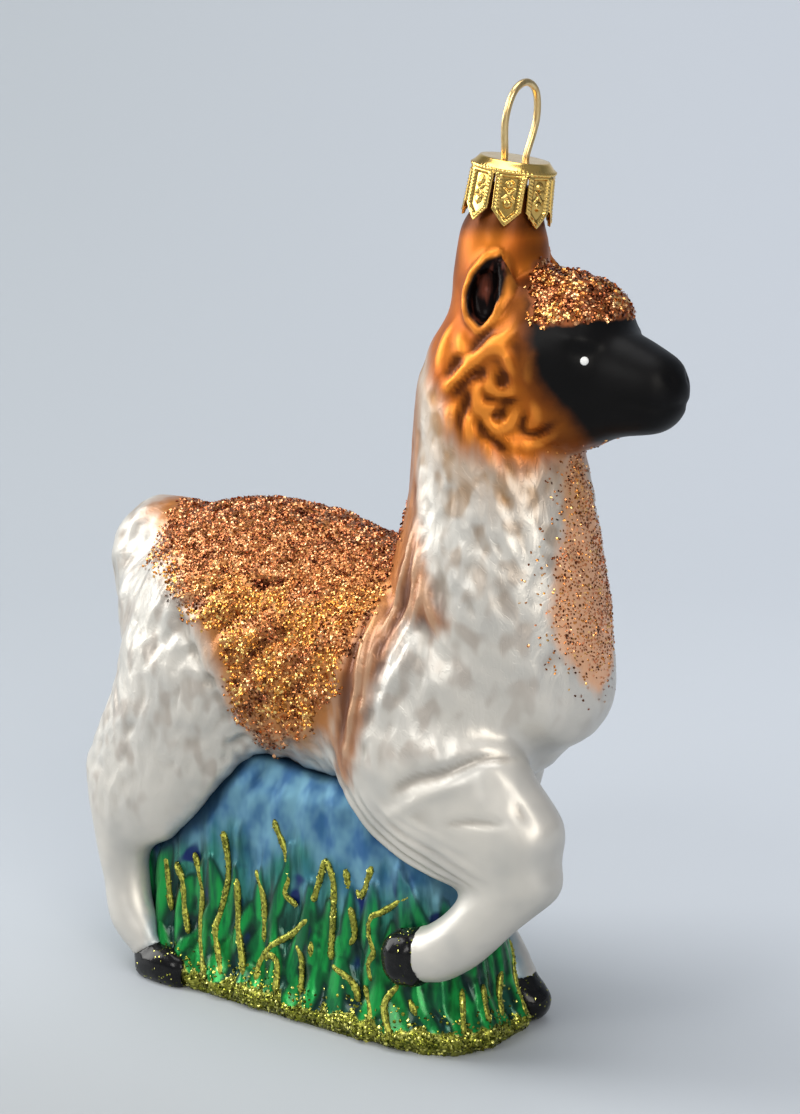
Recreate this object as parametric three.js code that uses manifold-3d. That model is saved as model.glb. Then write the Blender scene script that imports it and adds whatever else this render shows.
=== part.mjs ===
// A blown-glass llama ornament: the animal strides through tall grass with one foreleg raised, and a
// stamped metal cap with a wire hanger is clipped over the glass stub behind its ears. The glass is one
// moulded body. It is parted here by thin cuts, so that each part that a person would name is a node.
//
// Millimetres. +X is the way the llama faces, +Y its left side, +Z up. The origin is the middle of the
// base, on the surface that the ornament stands on.
import * as THREE from 'three';
import { ParametricGeometry } from 'three/addons/geometries/ParametricGeometry.js';
import { mergeVertices } from 'three/addons/utils/BufferGeometryUtils.js';
import Module from 'manifold-3d';

const wasm = await Module();
wasm.setup();

// ---- driving dimensions ----

const parting = 0.3; // the cut between one named part and the next
const bodySides = 22; // sides of the trunk's and neck's oval sections
const limbSides = 12; // sides of a leg's sections
const smallSides = 10; // sides of hooves, ears and tail

const right = -1; // the llama's right side is towards -Y
const left = 1;

// Planes that part the neck, each through a point behind it and falling by its slope along X.
const neckBase = { at: [8, 0, 62.5], slope: -0.5 }; // from the withers down to the chest
const throat = { at: [14, 0, 88], slope: -0.5 }; // from the nape down to the throat

// The main locks of the fleece and the main blades of grass that the mould gives the glass. They stand
// proud and sunk by turns, and finer ones between them are left out.
const lockHeight = 0.3;
const bladeHeight = 0.5;
const moundSides = 56; // two for each blade

const cap = {
  foot: [23.3, 0, 105.3], // middle of the circle that the tab tips lie on
  lean: 0.17, // radians that the stub and the cap tip forward
  height: 7.7,
  topRadius: 4.3,
  shoulderRadius: 5.15,
  shoulderDrop: 1.0, // from the top down to the shoulder
  tipRadius: 5.6,
  sheet: 0.45, // thickness of the stamped metal
  tabs: 8,
  firstGap: -0.618, // turn of the first gap from the llama's forward line
  band: 1.4, // uncut rim above the gaps
  gapAtBand: 0.3,
  gapAtPoint: 0.62,
  point: 1.95, // height of each tab's pointed end
};

const hanger = {
  wire: 0.45, // radius
  clearance: 0.3, // round each leg where it goes through the cap
  entry: 2.3, // half the distance between the legs at the cap's top
  belly: 3.35, // half the loop's widest, on the wire's centre line
  bellyHeight: 4.6, // above the cap's top
  height: 9.2,
  spread: 2.9, // half the distance between the leg ends inside the cap
  depth: 1.35, // how far the legs reach below the cap's top
};

// Beside the planted foreleg the mound falls away: its corner is cut off by a plane through a point,
// turned from facing forwards and leaning back.
const moundCorner = { at: [25.8, 4.5, 0], turn: 0.6, lean: 0.32 };

const eye = {
  forward: 39,
  outward: 6.3,
  up: 89.6,
  radius: 0.7,
  height: 0.5,
  turn: 1.02, // radians from facing sideways towards facing forwards
};

// ---- solids ----

// A closed geometry as a manifold solid: shared corners are merged and faces without area dropped.
function solid(geometry) {
  const bare = geometry.clone();
  bare.deleteAttribute('normal');
  bare.deleteAttribute('uv');
  const merged = mergeVertices(bare, 1e-4);
  const corners = merged.index.array;
  const triVerts = [];
  for (let i = 0; i < corners.length; i += 3) {
    const [a, b, c] = [corners[i], corners[i + 1], corners[i + 2]];
    if (a !== b && b !== c && c !== a) triVerts.push(a, b, c);
  }
  return new wasm.Manifold(
    new wasm.Mesh({
      numProp: 3,
      vertProperties: merged.getAttribute('position').array,
      triVerts: new Uint32Array(triVerts),
    }),
  );
}

function join(...solids) {
  return solids.reduce((whole, next) => whole.add(next));
}

function cut(body, ...tools) {
  return tools.reduce((whole, tool) => whole.subtract(tool), body);
}

// The largest of the pieces that a cut leaves.
function largest(body) {
  return body.decompose().sort((one, other) => other.volume() - one.volume())[0];
}

function geometryOf(body) {
  const { vertProperties, triVerts, numProp } = body.getMesh();
  const count = vertProperties.length / numProp;
  const position = new Float32Array(count * 3);
  for (let i = 0; i < count; i++) {
    position.set(vertProperties.subarray(i * numProp, i * numProp + 3), i * 3);
  }
  const geometry = new THREE.BufferGeometry();
  geometry.setAttribute('position', new THREE.BufferAttribute(position, 3));
  geometry.setIndex(new THREE.BufferAttribute(new Uint32Array(triVerts), 1));
  geometry.computeVertexNormals();
  return geometry;
}

// A large block whose lower face is a plane through `at` that climbs by `slope` along X.
function blockAbove({ at, slope }, lift = 0) {
  const size = 200;
  const block = new THREE.BoxGeometry(size, size, size);
  block.translate(0, 0, size / 2 + lift);
  block.rotateY(-Math.atan(slope));
  block.translate(...at);
  return solid(block);
}

function blockBeyond({ at, turn, lean }) {
  const size = 60;
  const block = new THREE.BoxGeometry(size, size, size);
  block.translate(size / 2, 0, 0);
  block.rotateY(-lean);
  block.rotateZ(turn);
  block.translate(...at);
  return solid(block);
}

function signedPower(value, power) {
  return Math.sign(value) * Math.abs(value) ** power;
}

// The place of a column on a section of half size 1, from the share of the way round that it stands at.
// A boxed section is stepped evenly round a rectangle that is `boxed` times as deep as it is wide.
function rim(share, square, boxed) {
  if (!boxed) {
    const angle = share * 2 * Math.PI;
    return [signedPower(Math.cos(angle), square), signedPower(Math.sin(angle), square)];
  }
  const wave = (turn) => 1 - 4 * Math.abs(turn - Math.round(turn));
  const deep = THREE.MathUtils.clamp((wave(share) * (boxed + 1)) / boxed, -1, 1);
  const wide = THREE.MathUtils.clamp(wave(share - 0.25) * (boxed + 1), -1, 1);
  const power = 2 / square;
  const reach = (Math.abs(deep) ** power + Math.abs(wide) ** power) ** (1 / power);
  return [deep / reach, wide / reach];
}

// A closed body of oval sections strung along a smooth line through the stations. A station is
// [x, y, z, deep, wide]: the section's centre, its half size up the llama's middle plane, and its half
// size across it. Each end is a dome, as long as its share of the end's half size, or flat at 0. The
// sections stand square to the line, or lie level. `relief` gives how far the point in a column and a
// row stands out of the smooth form.
function strung(stations, options = {}) {
  const { sides = limbSides, rows = 3, square = 1, level = false, grow = 0 } = options;
  const { domes = [0.75, 0.75], domeRows = 3, boxed = 0, relief = () => 0 } = options;
  const centres = stations.map(([x, y, z]) => new THREE.Vector3(x, y, z));
  const halves = stations.map(([, , , deep, wide]) => new THREE.Vector3(deep + grow, wide + grow, 0));
  const line = new THREE.CatmullRomCurve3(centres);
  const sizes = new THREE.CatmullRomCurve3(halves);
  const sideways = new THREE.Vector3(0, 1, 0);
  const bodyRows = rows * (stations.length - 1);
  const allRows = bodyRows + 2 * domeRows;

  function section(row) {
    const along = THREE.MathUtils.clamp((row - domeRows) / bodyRows, 0, 1);
    const centre = line.getPoint(along);
    const half = sizes.getPoint(along);
    const forward = level ? new THREE.Vector3(0, 0, 1) : line.getTangent(along);
    const beyond = Math.max(domeRows - row, row - domeRows - bodyRows, 0) / domeRows;
    const dome = domes[row > domeRows ? 1 : 0];
    if (beyond > 0) {
      const turn = (beyond * Math.PI) / 2;
      const reach = (dome * Math.min(half.x, half.y) + grow) * Math.sin(turn);
      centre.addScaledVector(forward, row > domeRows ? reach : -reach);
      half.multiplyScalar(beyond === 1 ? 0 : dome > 0 ? Math.cos(turn) : 1 - beyond);
    }
    const across = sideways.clone().addScaledVector(forward, -forward.y).normalize();
    const upwards = new THREE.Vector3().crossVectors(across, forward);
    return { centre, half, across, upwards };
  }

  function surface(u, v, target) {
    const row = Math.round(v * allRows);
    const column = Math.round(u * sides) % sides;
    const { centre, half, across, upwards } = section(row);
    const [deep, wide] = rim(column / sides, square, boxed);
    const proud = row > domeRows && row < domeRows + bodyRows ? relief(column, row) : 0;
    target.copy(centre);
    target.addScaledVector(upwards, (half.x + proud) * deep);
    target.addScaledVector(across, (half.y + proud) * wide);
  }

  return solid(new ParametricGeometry(surface, sides, allRows));
}

// Stations are written with Y as the distance from the llama's middle plane.
function onSide(stations, side, shift = 0) {
  return stations.map(([x, y, z, deep, wide]) => [x + shift, side * y, z, deep, wide]);
}

// ---- the llama's stations ----

const trunkLine = [
  [-31, 0, 50.2, 10.5, 10.5],
  [-24, 0, 50.2, 15.2, 14],
  [-12, 0, 49.2, 17.3, 15.2],
  [2, 0, 47, 16.6, 15.5],
  [14, 0, 46.8, 15, 15.2],
  [24, 0, 47.8, 14, 14.5],
  [31, 0, 49, 9.5, 10.5],
];

const neckLine = [
  [22.4, 0, 50, 15.5, 13.5],
  [22.6, 0, 59, 14.6, 12.8],
  [23, 0, 68, 12.4, 11],
  [22.4, 0, 77, 11.1, 9.7],
  [22.5, 0, 86, 10.3, 9.4],
  [23.2, 0, 93, 7, 7],
];

const skullLine = [
  [24.6, 0, 88.6, 8.6, 8.4],
  [30.4, 0, 89.6, 10, 8.8],
  [36.8, 0, 90.2, 8.6, 7.6],
];

const muzzleLine = [
  [33, 0, 85.8, 8.4, 7.2],
  [39.2, 0, 86.4, 6.8, 5.8],
  [44.6, 0, 85.7, 5.2, 4.7],
];

const stubLine = [
  [22.4, 0, 95, 6.4, 6.2],
  [22.8, 0, 100, 5.8, 5.8],
  [23.2, 0, 104, 5.5, 5.4],
  [23.9, 0, 106.6, 4.1, 4.1],
  [24.4, 0, 109.6, 3.9, 3.9],
];

const tailLine = [
  [-29, 0, 60.5, 4, 5],
  [-34.5, 0, 61, 4.4, 5.4],
  [-38, 0, 57, 4.2, 5.6],
  [-38.8, 0, 51, 3, 4.4],
];

const earLine = [
  [25.3, 5.6, 91.8, 2.9, 1.9],
  [25.1, 6.1, 95.2, 3.7, 2.4],
  [24.8, 5.5, 99, 3.1, 2],
  [24.5, 4.5, 101.9, 1.4, 1.2],
];

const earHollowLine = [
  [25.3, 9.1, 93.6, 1.3, 2.5],
  [25.1, 9.4, 96, 2.3, 2.5],
  [24.9, 8.6, 99, 1.6, 2.3],
];

const hindLegLine = [
  [-21.5, 8.2, 44, 12.2, 7.4],
  [-24.2, 9.2, 34.6, 11.8, 6.8],
  [-30.4, 10.4, 24.6, 10.2, 5.4],
  [-32.9, 11, 17.6, 4.5, 4.1],
  [-32, 11.4, 12.5, 3.6, 3.4],
  [-30.6, 11.8, 7.8, 3.8, 3.7],
  [-27.2, 12, 4.6, 3.2, 3.4],
];

const hindHoofLine = [
  [-27, 12.2, 1.4, 2.1, 3.3],
  [-23.5, 12.5, 2.2, 2.9, 3.8],
  [-19.8, 12.7, 2, 2.8, 3.4],
];

const raisedThighLine = [
  [13, 8.5, 43, 12, 7.6],
  [18.5, 10, 37, 12.2, 6.9],
  [27, 10.4, 32.4, 10.8, 5.8],
  [34.4, 10.2, 29, 7, 5.1],
];

const raisedShinLine = [
  [35.2, 10.4, 26.8, 4.6, 4.2],
  [29.6, 10.8, 20.8, 3.9, 3.8],
  [25, 11.4, 15.8, 3.8, 3.8],
  [21.2, 12, 13.2, 3.7, 3.7],
];

const raisedHoofLine = [
  [19.6, 12.2, 12.7, 3.8, 3.7],
  [16.6, 12.5, 12.3, 3.6, 3.5],
];

const standingLegLine = [
  [17, 7, 42, 10, 6.8],
  [17.6, 6.8, 30, 6.2, 5],
  [17, 6.4, 19, 3.7, 3.6],
  [17.2, 6, 12, 3.1, 3.1],
  [19.4, 5.6, 8.8, 3.2, 3.2],
  [22.2, 5.2, 5.8, 3, 3.1],
];

const standingHoofLine = [
  [20.6, 5, 2.6, 2.8, 3.2],
  [23.3, 5, 2.9, 3.3, 3.3],
  [25.6, 5, 2.4, 2.4, 2.8],
];

const moundLine = [
  [-1.5, 0, 0, 27.6, 14],
  [-1.5, 0, 1.6, 28.4, 15],
  [-3.1, 0, 5.5, 27.7, 13.4],
  [-4.6, 0, 12, 27.4, 12],
  [-5.6, 0, 22, 26, 11.2],
  [-4.4, 0, 29, 21.4, 10.4],
  [-2.6, 0, 34.5, 14.6, 7.5],
];

// ---- the glass body ----

const raisedByTurns = (place) => (place % 2 ? -1 : 1);
const locks = (column, row) => lockHeight * raisedByTurns(column + row);

const stub = (grow) => strung(stubLine, { sides: 14, rows: 2, domes: [0.4, 0], domeRows: 1, grow });
const torsoForms = {
  trunk: (grow) => strung(trunkLine, { sides: bodySides, rows: 3, relief: locks, grow }),
  neck: (grow) => strung(neckLine, { sides: bodySides, rows: 2, grow }),
  skull: (grow) => strung(skullLine, { sides: bodySides, rows: 2, domes: [0.9, 0.55], grow }),
  muzzle: (grow) => strung(muzzleLine, { sides: 16, rows: 2, domes: [0.5, 0.95], square: 0.82, grow }),
};

function torsoGrown(grow) {
  return join(...Object.values(torsoForms).map((form) => form(grow)));
}

const torso = torsoGrown(0);
const torsoTool = torsoGrown(parting);
const floor = new THREE.BoxGeometry(200, 200, 20);
floor.translate(0, 0, -10);
const belowFloor = solid(floor);

const aboveNeckBase = blockAbove(neckBase);
const aboveThroat = blockAbove(throat);

const hoofShape = { sides: smallSides, rows: 2, square: 0.75, domes: [0.9, 0.8], domeRows: 2 };
const limbs = {
  foreleg_right: (grow) =>
    join(
      strung(onSide(raisedThighLine, right), { rows: 2, grow }),
      strung(onSide(raisedShinLine, right), { rows: 2, grow }),
    ),
  foreleg_left: (grow) => strung(onSide(standingLegLine, left), { rows: 2, grow }),
  hind_leg_right: (grow) => strung(onSide(hindLegLine, right), { rows: 2, grow }),
  hind_leg_left: (grow) => strung(onSide(hindLegLine, left, 3), { rows: 2, grow }),
};
const hooves = {
  foreleg_right: (grow) =>
    strung(onSide(raisedHoofLine, right), { ...hoofShape, domes: [0.1, 0.6], grow }),
  foreleg_left: (grow) => strung(onSide(standingHoofLine, left), { ...hoofShape, grow }),
  hind_leg_right: (grow) => strung(onSide(hindHoofLine, right), { ...hoofShape, grow }),
  hind_leg_left: (grow) => strung(onSide(hindHoofLine, left, 3), { ...hoofShape, grow }),
};

// ---- the cap and its hanger ----

// Puts something made round the cap's own axis, with the tab tips at height 0, in its place.
const capPlace = new THREE.Matrix4().makeTranslation(...cap.foot);
capPlace.multiply(new THREE.Matrix4().makeRotationY(cap.lean));

function capShell() {
  const shoulder = cap.height - cap.shoulderDrop;
  const profile = [
    [0, cap.height],
    [0, cap.height - cap.sheet],
    [cap.topRadius - cap.sheet, cap.height - cap.sheet],
    [cap.shoulderRadius - cap.sheet, shoulder - cap.sheet],
    [cap.tipRadius - cap.sheet, 0],
    [cap.tipRadius, 0],
    [cap.shoulderRadius, shoulder],
    [cap.topRadius, cap.height],
    [0, cap.height],
  ];
  const shell = new THREE.LatheGeometry(profile.map(([r, z]) => new THREE.Vector2(r, z)), cap.tabs * 4);
  shell.rotateX(Math.PI / 2);
  return solid(shell);
}

// The gap between two tabs: a narrow slit that opens into the slants of the two pointed ends.
function tabGap(turn) {
  const halfPitch = cap.tipRadius * Math.tan(Math.PI / cap.tabs);
  const outline = new THREE.Shape();
  outline.moveTo(-halfPitch, -1);
  outline.lineTo(halfPitch, -1);
  outline.lineTo(halfPitch, 0);
  outline.lineTo(cap.gapAtPoint / 2, cap.point);
  outline.lineTo(cap.gapAtBand / 2, cap.height - cap.band);
  outline.lineTo(-cap.gapAtBand / 2, cap.height - cap.band);
  outline.lineTo(-cap.gapAtPoint / 2, cap.point);
  outline.lineTo(-halfPitch, 0);
  const gap = new THREE.ExtrudeGeometry(outline, { depth: cap.tipRadius, bevelEnabled: false });
  gap.rotateX(Math.PI / 2);
  gap.translate(0, -cap.tipRadius / 2, 0);
  gap.rotateZ(turn);
  return solid(gap);
}

function hangerLoop(grow) {
  const points = [
    [-hanger.spread, -hanger.depth],
    [-hanger.entry, 0],
    [-hanger.belly, hanger.bellyHeight],
    [-hanger.belly * 0.72, hanger.height * 0.87],
    [0, hanger.height],
    [hanger.belly * 0.72, hanger.height * 0.87],
    [hanger.belly, hanger.bellyHeight],
    [hanger.entry, 0],
    [hanger.spread, -hanger.depth],
  ];
  const path = new THREE.CatmullRomCurve3(points.map(([y, z]) => new THREE.Vector3(0, y, cap.height + z)));
  const section = new THREE.Shape();
  section.absarc(0, 0, hanger.wire + grow, 0, 2 * Math.PI);
  const wire = new THREE.ExtrudeGeometry(section, { steps: 26, curveSegments: 4, extrudePath: path });
  return solid(wire.applyMatrix4(capPlace));
}

// ---- materials ----

function paint(color, roughness, metalness) {
  return new THREE.MeshStandardMaterial({ color, roughness, metalness });
}

const materials = {
  pearl: paint(0xe6e1d6, 0.28, 0.35),
  amber: paint(0xb5642a, 0.25, 0.45),
  black: paint(0x17161a, 0.3, 0.0),
  grass: paint(0x2f8f74, 0.3, 0.2),
  gold: paint(0xc9a24a, 0.3, 1.0),
  wire: paint(0xb08a45, 0.35, 1.0),
  dot: paint(0xf4f4f0, 0.5, 0.0),
};

// ---- the scene graph ----

const group = new THREE.Group();

function addPart(name, body, material) {
  const mesh = new THREE.Mesh(geometryOf(largest(body)), material);
  mesh.name = name;
  group.add(mesh);
}

function eyeDot(side, grow) {
  const dot = new THREE.SphereGeometry(1, 8, 5);
  dot.scale(eye.radius + grow, eye.height + grow, eye.radius + grow);
  dot.rotateZ(-side * eye.turn);
  dot.translate(eye.forward, side * eye.outward, eye.up);
  return solid(dot);
}

const eyeTools = [right, left].map((side) => eyeDot(side, parting));
const below = (plane) => blockAbove(plane, -parting);
addPart('trunk', cut(torso, below(neckBase)), materials.pearl);
addPart('neck', cut(torso.intersect(aboveNeckBase), below(throat)), materials.pearl);
addPart('head', cut(torso.intersect(aboveThroat), ...eyeTools), materials.amber);
addPart('glass_stub', cut(stub(0), torsoTool), materials.amber);
addPart('tail', cut(strung(tailLine, { sides: smallSides, rows: 2 }), torsoTool), materials.pearl);

const earShape = { sides: 8, rows: 2, domes: [0.6, 0.9], domeRows: 2 };
for (const [sideName, side] of [['right', right], ['left', left]]) {
  const ear = strung(onSide(earLine, side), earShape);
  const hollow = strung(onSide(earHollowLine, side), { ...earShape, rows: 1 });
  addPart(`ear_${sideName}`, cut(ear, torsoTool, stub(parting), hollow), materials.amber);
  addPart(`eye_dot_${sideName}`, eyeDot(side, 0), materials.dot);
}

const blades = (column) => bladeHeight * raisedByTurns(column);
const moundShape = {
  sides: moundSides,
  rows: 1,
  domes: [0, 0],
  domeRows: 1,
  square: 0.42,
  boxed: 2.1,
  level: true,
  relief: blades,
};
const moundForm = (grow) => cut(strung(moundLine, { ...moundShape, grow }), blockBeyond(moundCorner));
const planted = 'foreleg_left'; // this leg is let into the mound, and the others stand out from it
const moundTool = moundForm(parting);
for (const [name, leg] of Object.entries(limbs)) {
  const hoof = hooves[name];
  const tools = name === planted ? [belowFloor] : [moundTool, belowFloor];
  addPart(name, cut(leg(0), torsoTool, hoof(parting), ...tools), materials.pearl);
  addPart(name.replace('leg', '_hoof').replace('__', '_'), cut(hoof(0), ...tools), materials.black);
}

const plantedTools = [limbs[planted](parting), hooves[planted](parting)];
addPart('grass_mound', cut(moundForm(0), torsoTool, ...plantedTools, belowFloor), materials.grass);

const shell = [...Array(cap.tabs).keys()].reduce(
  (metal, tab) => metal.subtract(tabGap(cap.firstGap + (tab * 2 * Math.PI) / cap.tabs)),
  capShell(),
);
const placedShell = solid(geometryOf(shell).applyMatrix4(capPlace));
addPart('cap', cut(placedShell, hangerLoop(hanger.clearance)), materials.gold);
addPart('hanger_loop', hangerLoop(0), materials.wire);

export default group;
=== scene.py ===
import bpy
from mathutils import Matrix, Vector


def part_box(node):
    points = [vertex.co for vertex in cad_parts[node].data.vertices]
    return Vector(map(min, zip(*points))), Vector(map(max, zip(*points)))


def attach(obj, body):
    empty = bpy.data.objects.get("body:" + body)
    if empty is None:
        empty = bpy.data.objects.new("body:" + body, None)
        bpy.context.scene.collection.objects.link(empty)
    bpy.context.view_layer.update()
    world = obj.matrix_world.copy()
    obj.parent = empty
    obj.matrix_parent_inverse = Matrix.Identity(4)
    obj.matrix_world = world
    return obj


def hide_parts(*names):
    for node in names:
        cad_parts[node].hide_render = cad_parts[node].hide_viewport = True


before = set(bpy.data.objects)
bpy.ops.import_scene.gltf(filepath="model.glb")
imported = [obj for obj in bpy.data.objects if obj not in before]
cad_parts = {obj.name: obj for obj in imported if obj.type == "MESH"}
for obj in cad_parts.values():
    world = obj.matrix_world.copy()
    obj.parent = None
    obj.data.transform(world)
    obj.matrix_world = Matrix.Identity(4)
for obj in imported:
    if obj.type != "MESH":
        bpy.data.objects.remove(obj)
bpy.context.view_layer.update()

import math

import bpy
import numpy as np
import openvdb
from mathutils import Matrix, Vector

# A mould-blown glass llama on a mound of grass, silvered inside, painted and glittered, with a
# stamped cap and a wire loop. Shapes are worked out in millimetres, meshes are in metres.
mm = 0.001


def say(stage):
    print("llama ornament:", stage)


class Wire:  # one output socket, which can be written in sums
    def __init__(self, net, socket):
        self.net = net
        self.socket = socket

    def __add__(self, other):
        return self.net.maths("ADD", self, other)

    def __radd__(self, other):
        return self.net.maths("ADD", other, self)

    def __sub__(self, other):
        return self.net.maths("SUBTRACT", self, other)

    def __rsub__(self, other):
        return self.net.maths("SUBTRACT", other, self)

    def __mul__(self, other):
        return self.net.maths("MULTIPLY", self, other)

    def __rmul__(self, other):
        return self.net.maths("MULTIPLY", other, self)

    def __truediv__(self, other):
        return self.net.maths("DIVIDE", self, other)

    def __rtruediv__(self, other):
        return self.net.maths("DIVIDE", other, self)

    def clip(self):
        return self.net.maths("MINIMUM", self.net.maths("MAXIMUM", self, 0.0), 1.0)

    def fade(self, low, high):  # 0 at low, 1 at high, smooth between
        return self.net.node("ShaderNodeMapRange", {"interpolation_type": "SMOOTHSTEP"},
                             {"Value": self, "From Min": low, "From Max": high})

    def also(self, name):  # another output of the same node
        return Wire(self.net, self.socket.node.outputs[name])


class Net:
    def __init__(self, tree):
        self.tree = tree

    def feed(self, socket, value):
        if isinstance(value, Wire):
            self.tree.links.new(value.socket, socket)
        else:
            socket.default_value = value

    def node(self, kind, settings=None, values=None, out=0):
        made = self.tree.nodes.new(kind)
        for name, value in (settings or {}).items():
            setattr(made, name, value)
        for name, value in (values or {}).items():
            self.feed(made.inputs[name], value)
        return Wire(self, made.outputs[out]) if made.outputs else None

    def maths(self, operation, a, b):
        return self.node("ShaderNodeMath", {"operation": operation}, {0: a, 1: b})

    def mix(self, factor, a, b):  # a where the factor is 0, b where it is 1
        ends = {index: value if isinstance(value, Wire) else (*value, 1.0)
                for index, value in ((6, a), (7, b))}
        return self.node("ShaderNodeMix", {"data_type": "RGBA"}, {0: factor, **ends}, out=2)

    def layers(self, colour, *coats):  # each coat is a mask and a colour laid over those before it
        for mask, paint in coats:
            colour = self.mix(mask, colour, paint)
        return colour

    def attribute(self, name):
        return self.node("ShaderNodeAttribute", {"attribute_name": name}, out="Fac")

    def place(self, stretch=(1, 1, 1)):  # object coordinates in mm, stretched
        at = self.node("ShaderNodeTexCoord", out="Object")
        scale = [1 / (mm * part) for part in stretch]
        return self.node("ShaderNodeVectorMath", {"operation": "MULTIPLY"}, {0: at, 1: scale})

    def noise(self, size, stretch=(1, 1, 1), detail=2.0):
        return self.node("ShaderNodeTexNoise", None, {
            "Vector": self.place(stretch), "Scale": 1 / size, "Detail": detail})

    def grains(self, scale):  # a random value for each small cell
        cells = self.node("ShaderNodeTexVoronoi", None, {"Vector": self.place(), "Scale": scale},
                          out="Color")
        return self.node("ShaderNodeSeparateColor", None, {"Color": cells})

    def height(self):  # above the floor, in mm
        at = self.node("ShaderNodeTexCoord", out="Object")
        return self.node("ShaderNodeSeparateXYZ", None, {"Vector": at}, out="Z") / mm


def material(name, paint):
    made = bpy.data.materials.new(name)
    made.use_nodes = True
    made.node_tree.nodes.clear()
    net = Net(made.node_tree)
    shader = paint(net)
    net.node("ShaderNodeOutputMaterial", None, {"Surface": shader})
    return made


def gloss(net, values):
    return net.node("ShaderNodeBsdfPrincipled", None, values)


def bump(net, height, strength, depth):  # depth in mm
    return net.node("ShaderNodeBump", None,
                    {"Height": height, "Strength": strength, "Distance": depth * mm})


def fade(value, low, high):  # 0 at low, 1 at high, smooth between
    part = np.clip((value - low) / (high - low), 0, 1)
    return part * part * (3 - 2 * part)


noiseTable = np.random.default_rng(4).uniform(-1, 1, 8192).astype(np.float32)


def noise(points, seed=0):  # smooth, between about -1 and 1, one lump for each unit
    cell = np.floor(points).astype(np.int64)
    part = points - cell
    part = part * part * (3 - 2 * part)
    total = 0
    for corner in range(8):
        step = np.array([corner & 1, corner >> 1 & 1, corner >> 2])
        x, y, z = (cell + step).T
        mixed = (x * 73856093 ^ y * 19349663 ^ z * 83492791 ^ seed * 2654435) % len(noiseTable)
        weight = np.prod(np.where(step, part, 1 - part), axis=1)
        total = total + noiseTable[mixed] * weight
    return total * 1.4


def distanceInside(outline, a, b):  # signed distance to a closed outline, positive inside
    corners = np.array(outline, float)
    following = np.roll(corners, -1, axis=0)
    nearest = np.full(len(a), 1e9)
    inside = np.zeros(len(a), bool)
    for (ax, ay), (bx, by) in zip(corners, following):
        ex, ey = bx - ax, by - ay
        t = np.clip(((a - ax) * ex + (b - ay) * ey) / max(ex * ex + ey * ey, 1e-9), 0, 1)
        nearest = np.minimum(nearest, np.hypot(a - ax - t * ex, b - ay - t * ey))
        crosses = (ay > b) != (by > b)
        inside ^= crosses & (a < ex * (b - ay) / (ey if ey else 1e-9) + ax)
    return np.where(inside, nearest, -nearest)


def smoothPath(points, pieces=8):  # Catmull-Rom through the points
    points = np.array(points, float)
    ends = np.vstack([2 * points[0] - points[1], points, 2 * points[-1] - points[-2]])
    t = (np.arange(pieces) / pieces)[:, None]
    runs = []
    for a, b, c, d in zip(ends, ends[1:], ends[2:], ends[3:]):
        runs.append(0.5 * (2 * b + (c - a) * t + (2 * a - 5 * b + 4 * c - d) * t ** 2
                           + (3 * b - a - 3 * c + d) * t ** 3))
    return np.vstack(runs + [points[-1:]])


# distance fields of the glass forms, on one grid round them all
field = {
    "voxel": 0.465,  # mm
    "margin": 5.0,   # mm round the glass
    "band": 9,       # voxels of true distance each side of a form
    "grow": 0.2,     # mm, closes the cuts that part the solids
}
glassNodes = ["trunk", "neck", "head", "glass_stub", "tail", "ear_right", "ear_left",
              "foreleg_right", "foreleg_left", "hind_leg_right", "hind_leg_left"]
hoofNodes = ["fore_hoof_right", "fore_hoof_left", "hind_hoof_right", "hind_hoof_left"]
step = field["voxel"]
spread = openvdb.createLinearTransform(voxelSize=step)
corners = np.array([[list(c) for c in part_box(n)] for n in glassNodes + hoofNodes + ["grass_mound"]])
gridStart = np.floor((corners[:, 0].min(0) / mm - field["margin"]) / step).astype(int)
gridShape = np.ceil((corners[:, 1].max(0) / mm + field["margin"]) / step).astype(int) - gridStart
farOff = step * field["band"]


def solidOf(name):
    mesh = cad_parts[name].data
    points = np.empty(len(mesh.vertices) * 3, np.float32)
    mesh.vertices.foreach_get("co", points)
    mesh.calc_loop_triangles()
    triangles = np.empty(len(mesh.loop_triangles) * 3, np.int32)
    mesh.loop_triangles.foreach_get("vertices", triangles)
    points = np.round(points.reshape(-1, 3) / mm, 3)
    merged, which = np.unique(points, axis=0, return_inverse=True)
    return merged.astype(np.float32), which.ravel()[triangles].reshape(-1, 3).astype(np.uint32)


def distanceTo(name):
    points, triangles = solidOf(name)
    levels = openvdb.FloatGrid.createLevelSetFromPolygons(
        points, triangles=triangles, transform=spread, halfWidth=field["band"])
    values = np.full(gridShape, farOff, np.float32)
    levels.copyToArray(values, ijk=tuple(int(n) for n in gridStart))
    return values


def meld(a, b, reach):  # union with a fillet
    near = np.maximum(reach - np.abs(a - b), 0) / reach
    return np.minimum(a, b) - near * near * reach / 4


def soften(values, radius):  # Gaussian, radius in mm
    count = int(np.ceil(2.6 * radius / step))
    taps = np.arange(-count, count + 1)
    weights = np.exp(-(taps * step) ** 2 / (2 * radius * radius))
    weights = weights / weights.sum()
    for axis in range(3):
        total = np.zeros_like(values)
        for tap, weight in zip(taps, weights):
            total += np.float32(weight) * np.roll(values, tap, axis=axis)
        values = total
    return values


def read(values, points):  # trilinear
    at = points / step - gridStart
    cell = np.clip(np.floor(at).astype(int), 0, gridShape - 2)
    part = at - cell
    total = 0
    for corner in range(8):
        shift = np.array([corner & 1, corner >> 1 & 1, corner >> 2])
        x, y, z = (cell + shift).T
        total = total + values[x, y, z] * np.prod(np.where(shift, part, 1 - part), axis=1)
    return total


def slope(values, points):
    reach = 0.7 * step
    parts = []
    for axis in np.eye(3) * reach:
        parts.append(read(values, points + axis) - read(values, points - axis))
    return np.stack(parts, axis=1) / (2 * reach)


def unit(vectors):
    return vectors / np.maximum(np.linalg.norm(vectors, axis=-1, keepdims=True), 1e-9)


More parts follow.
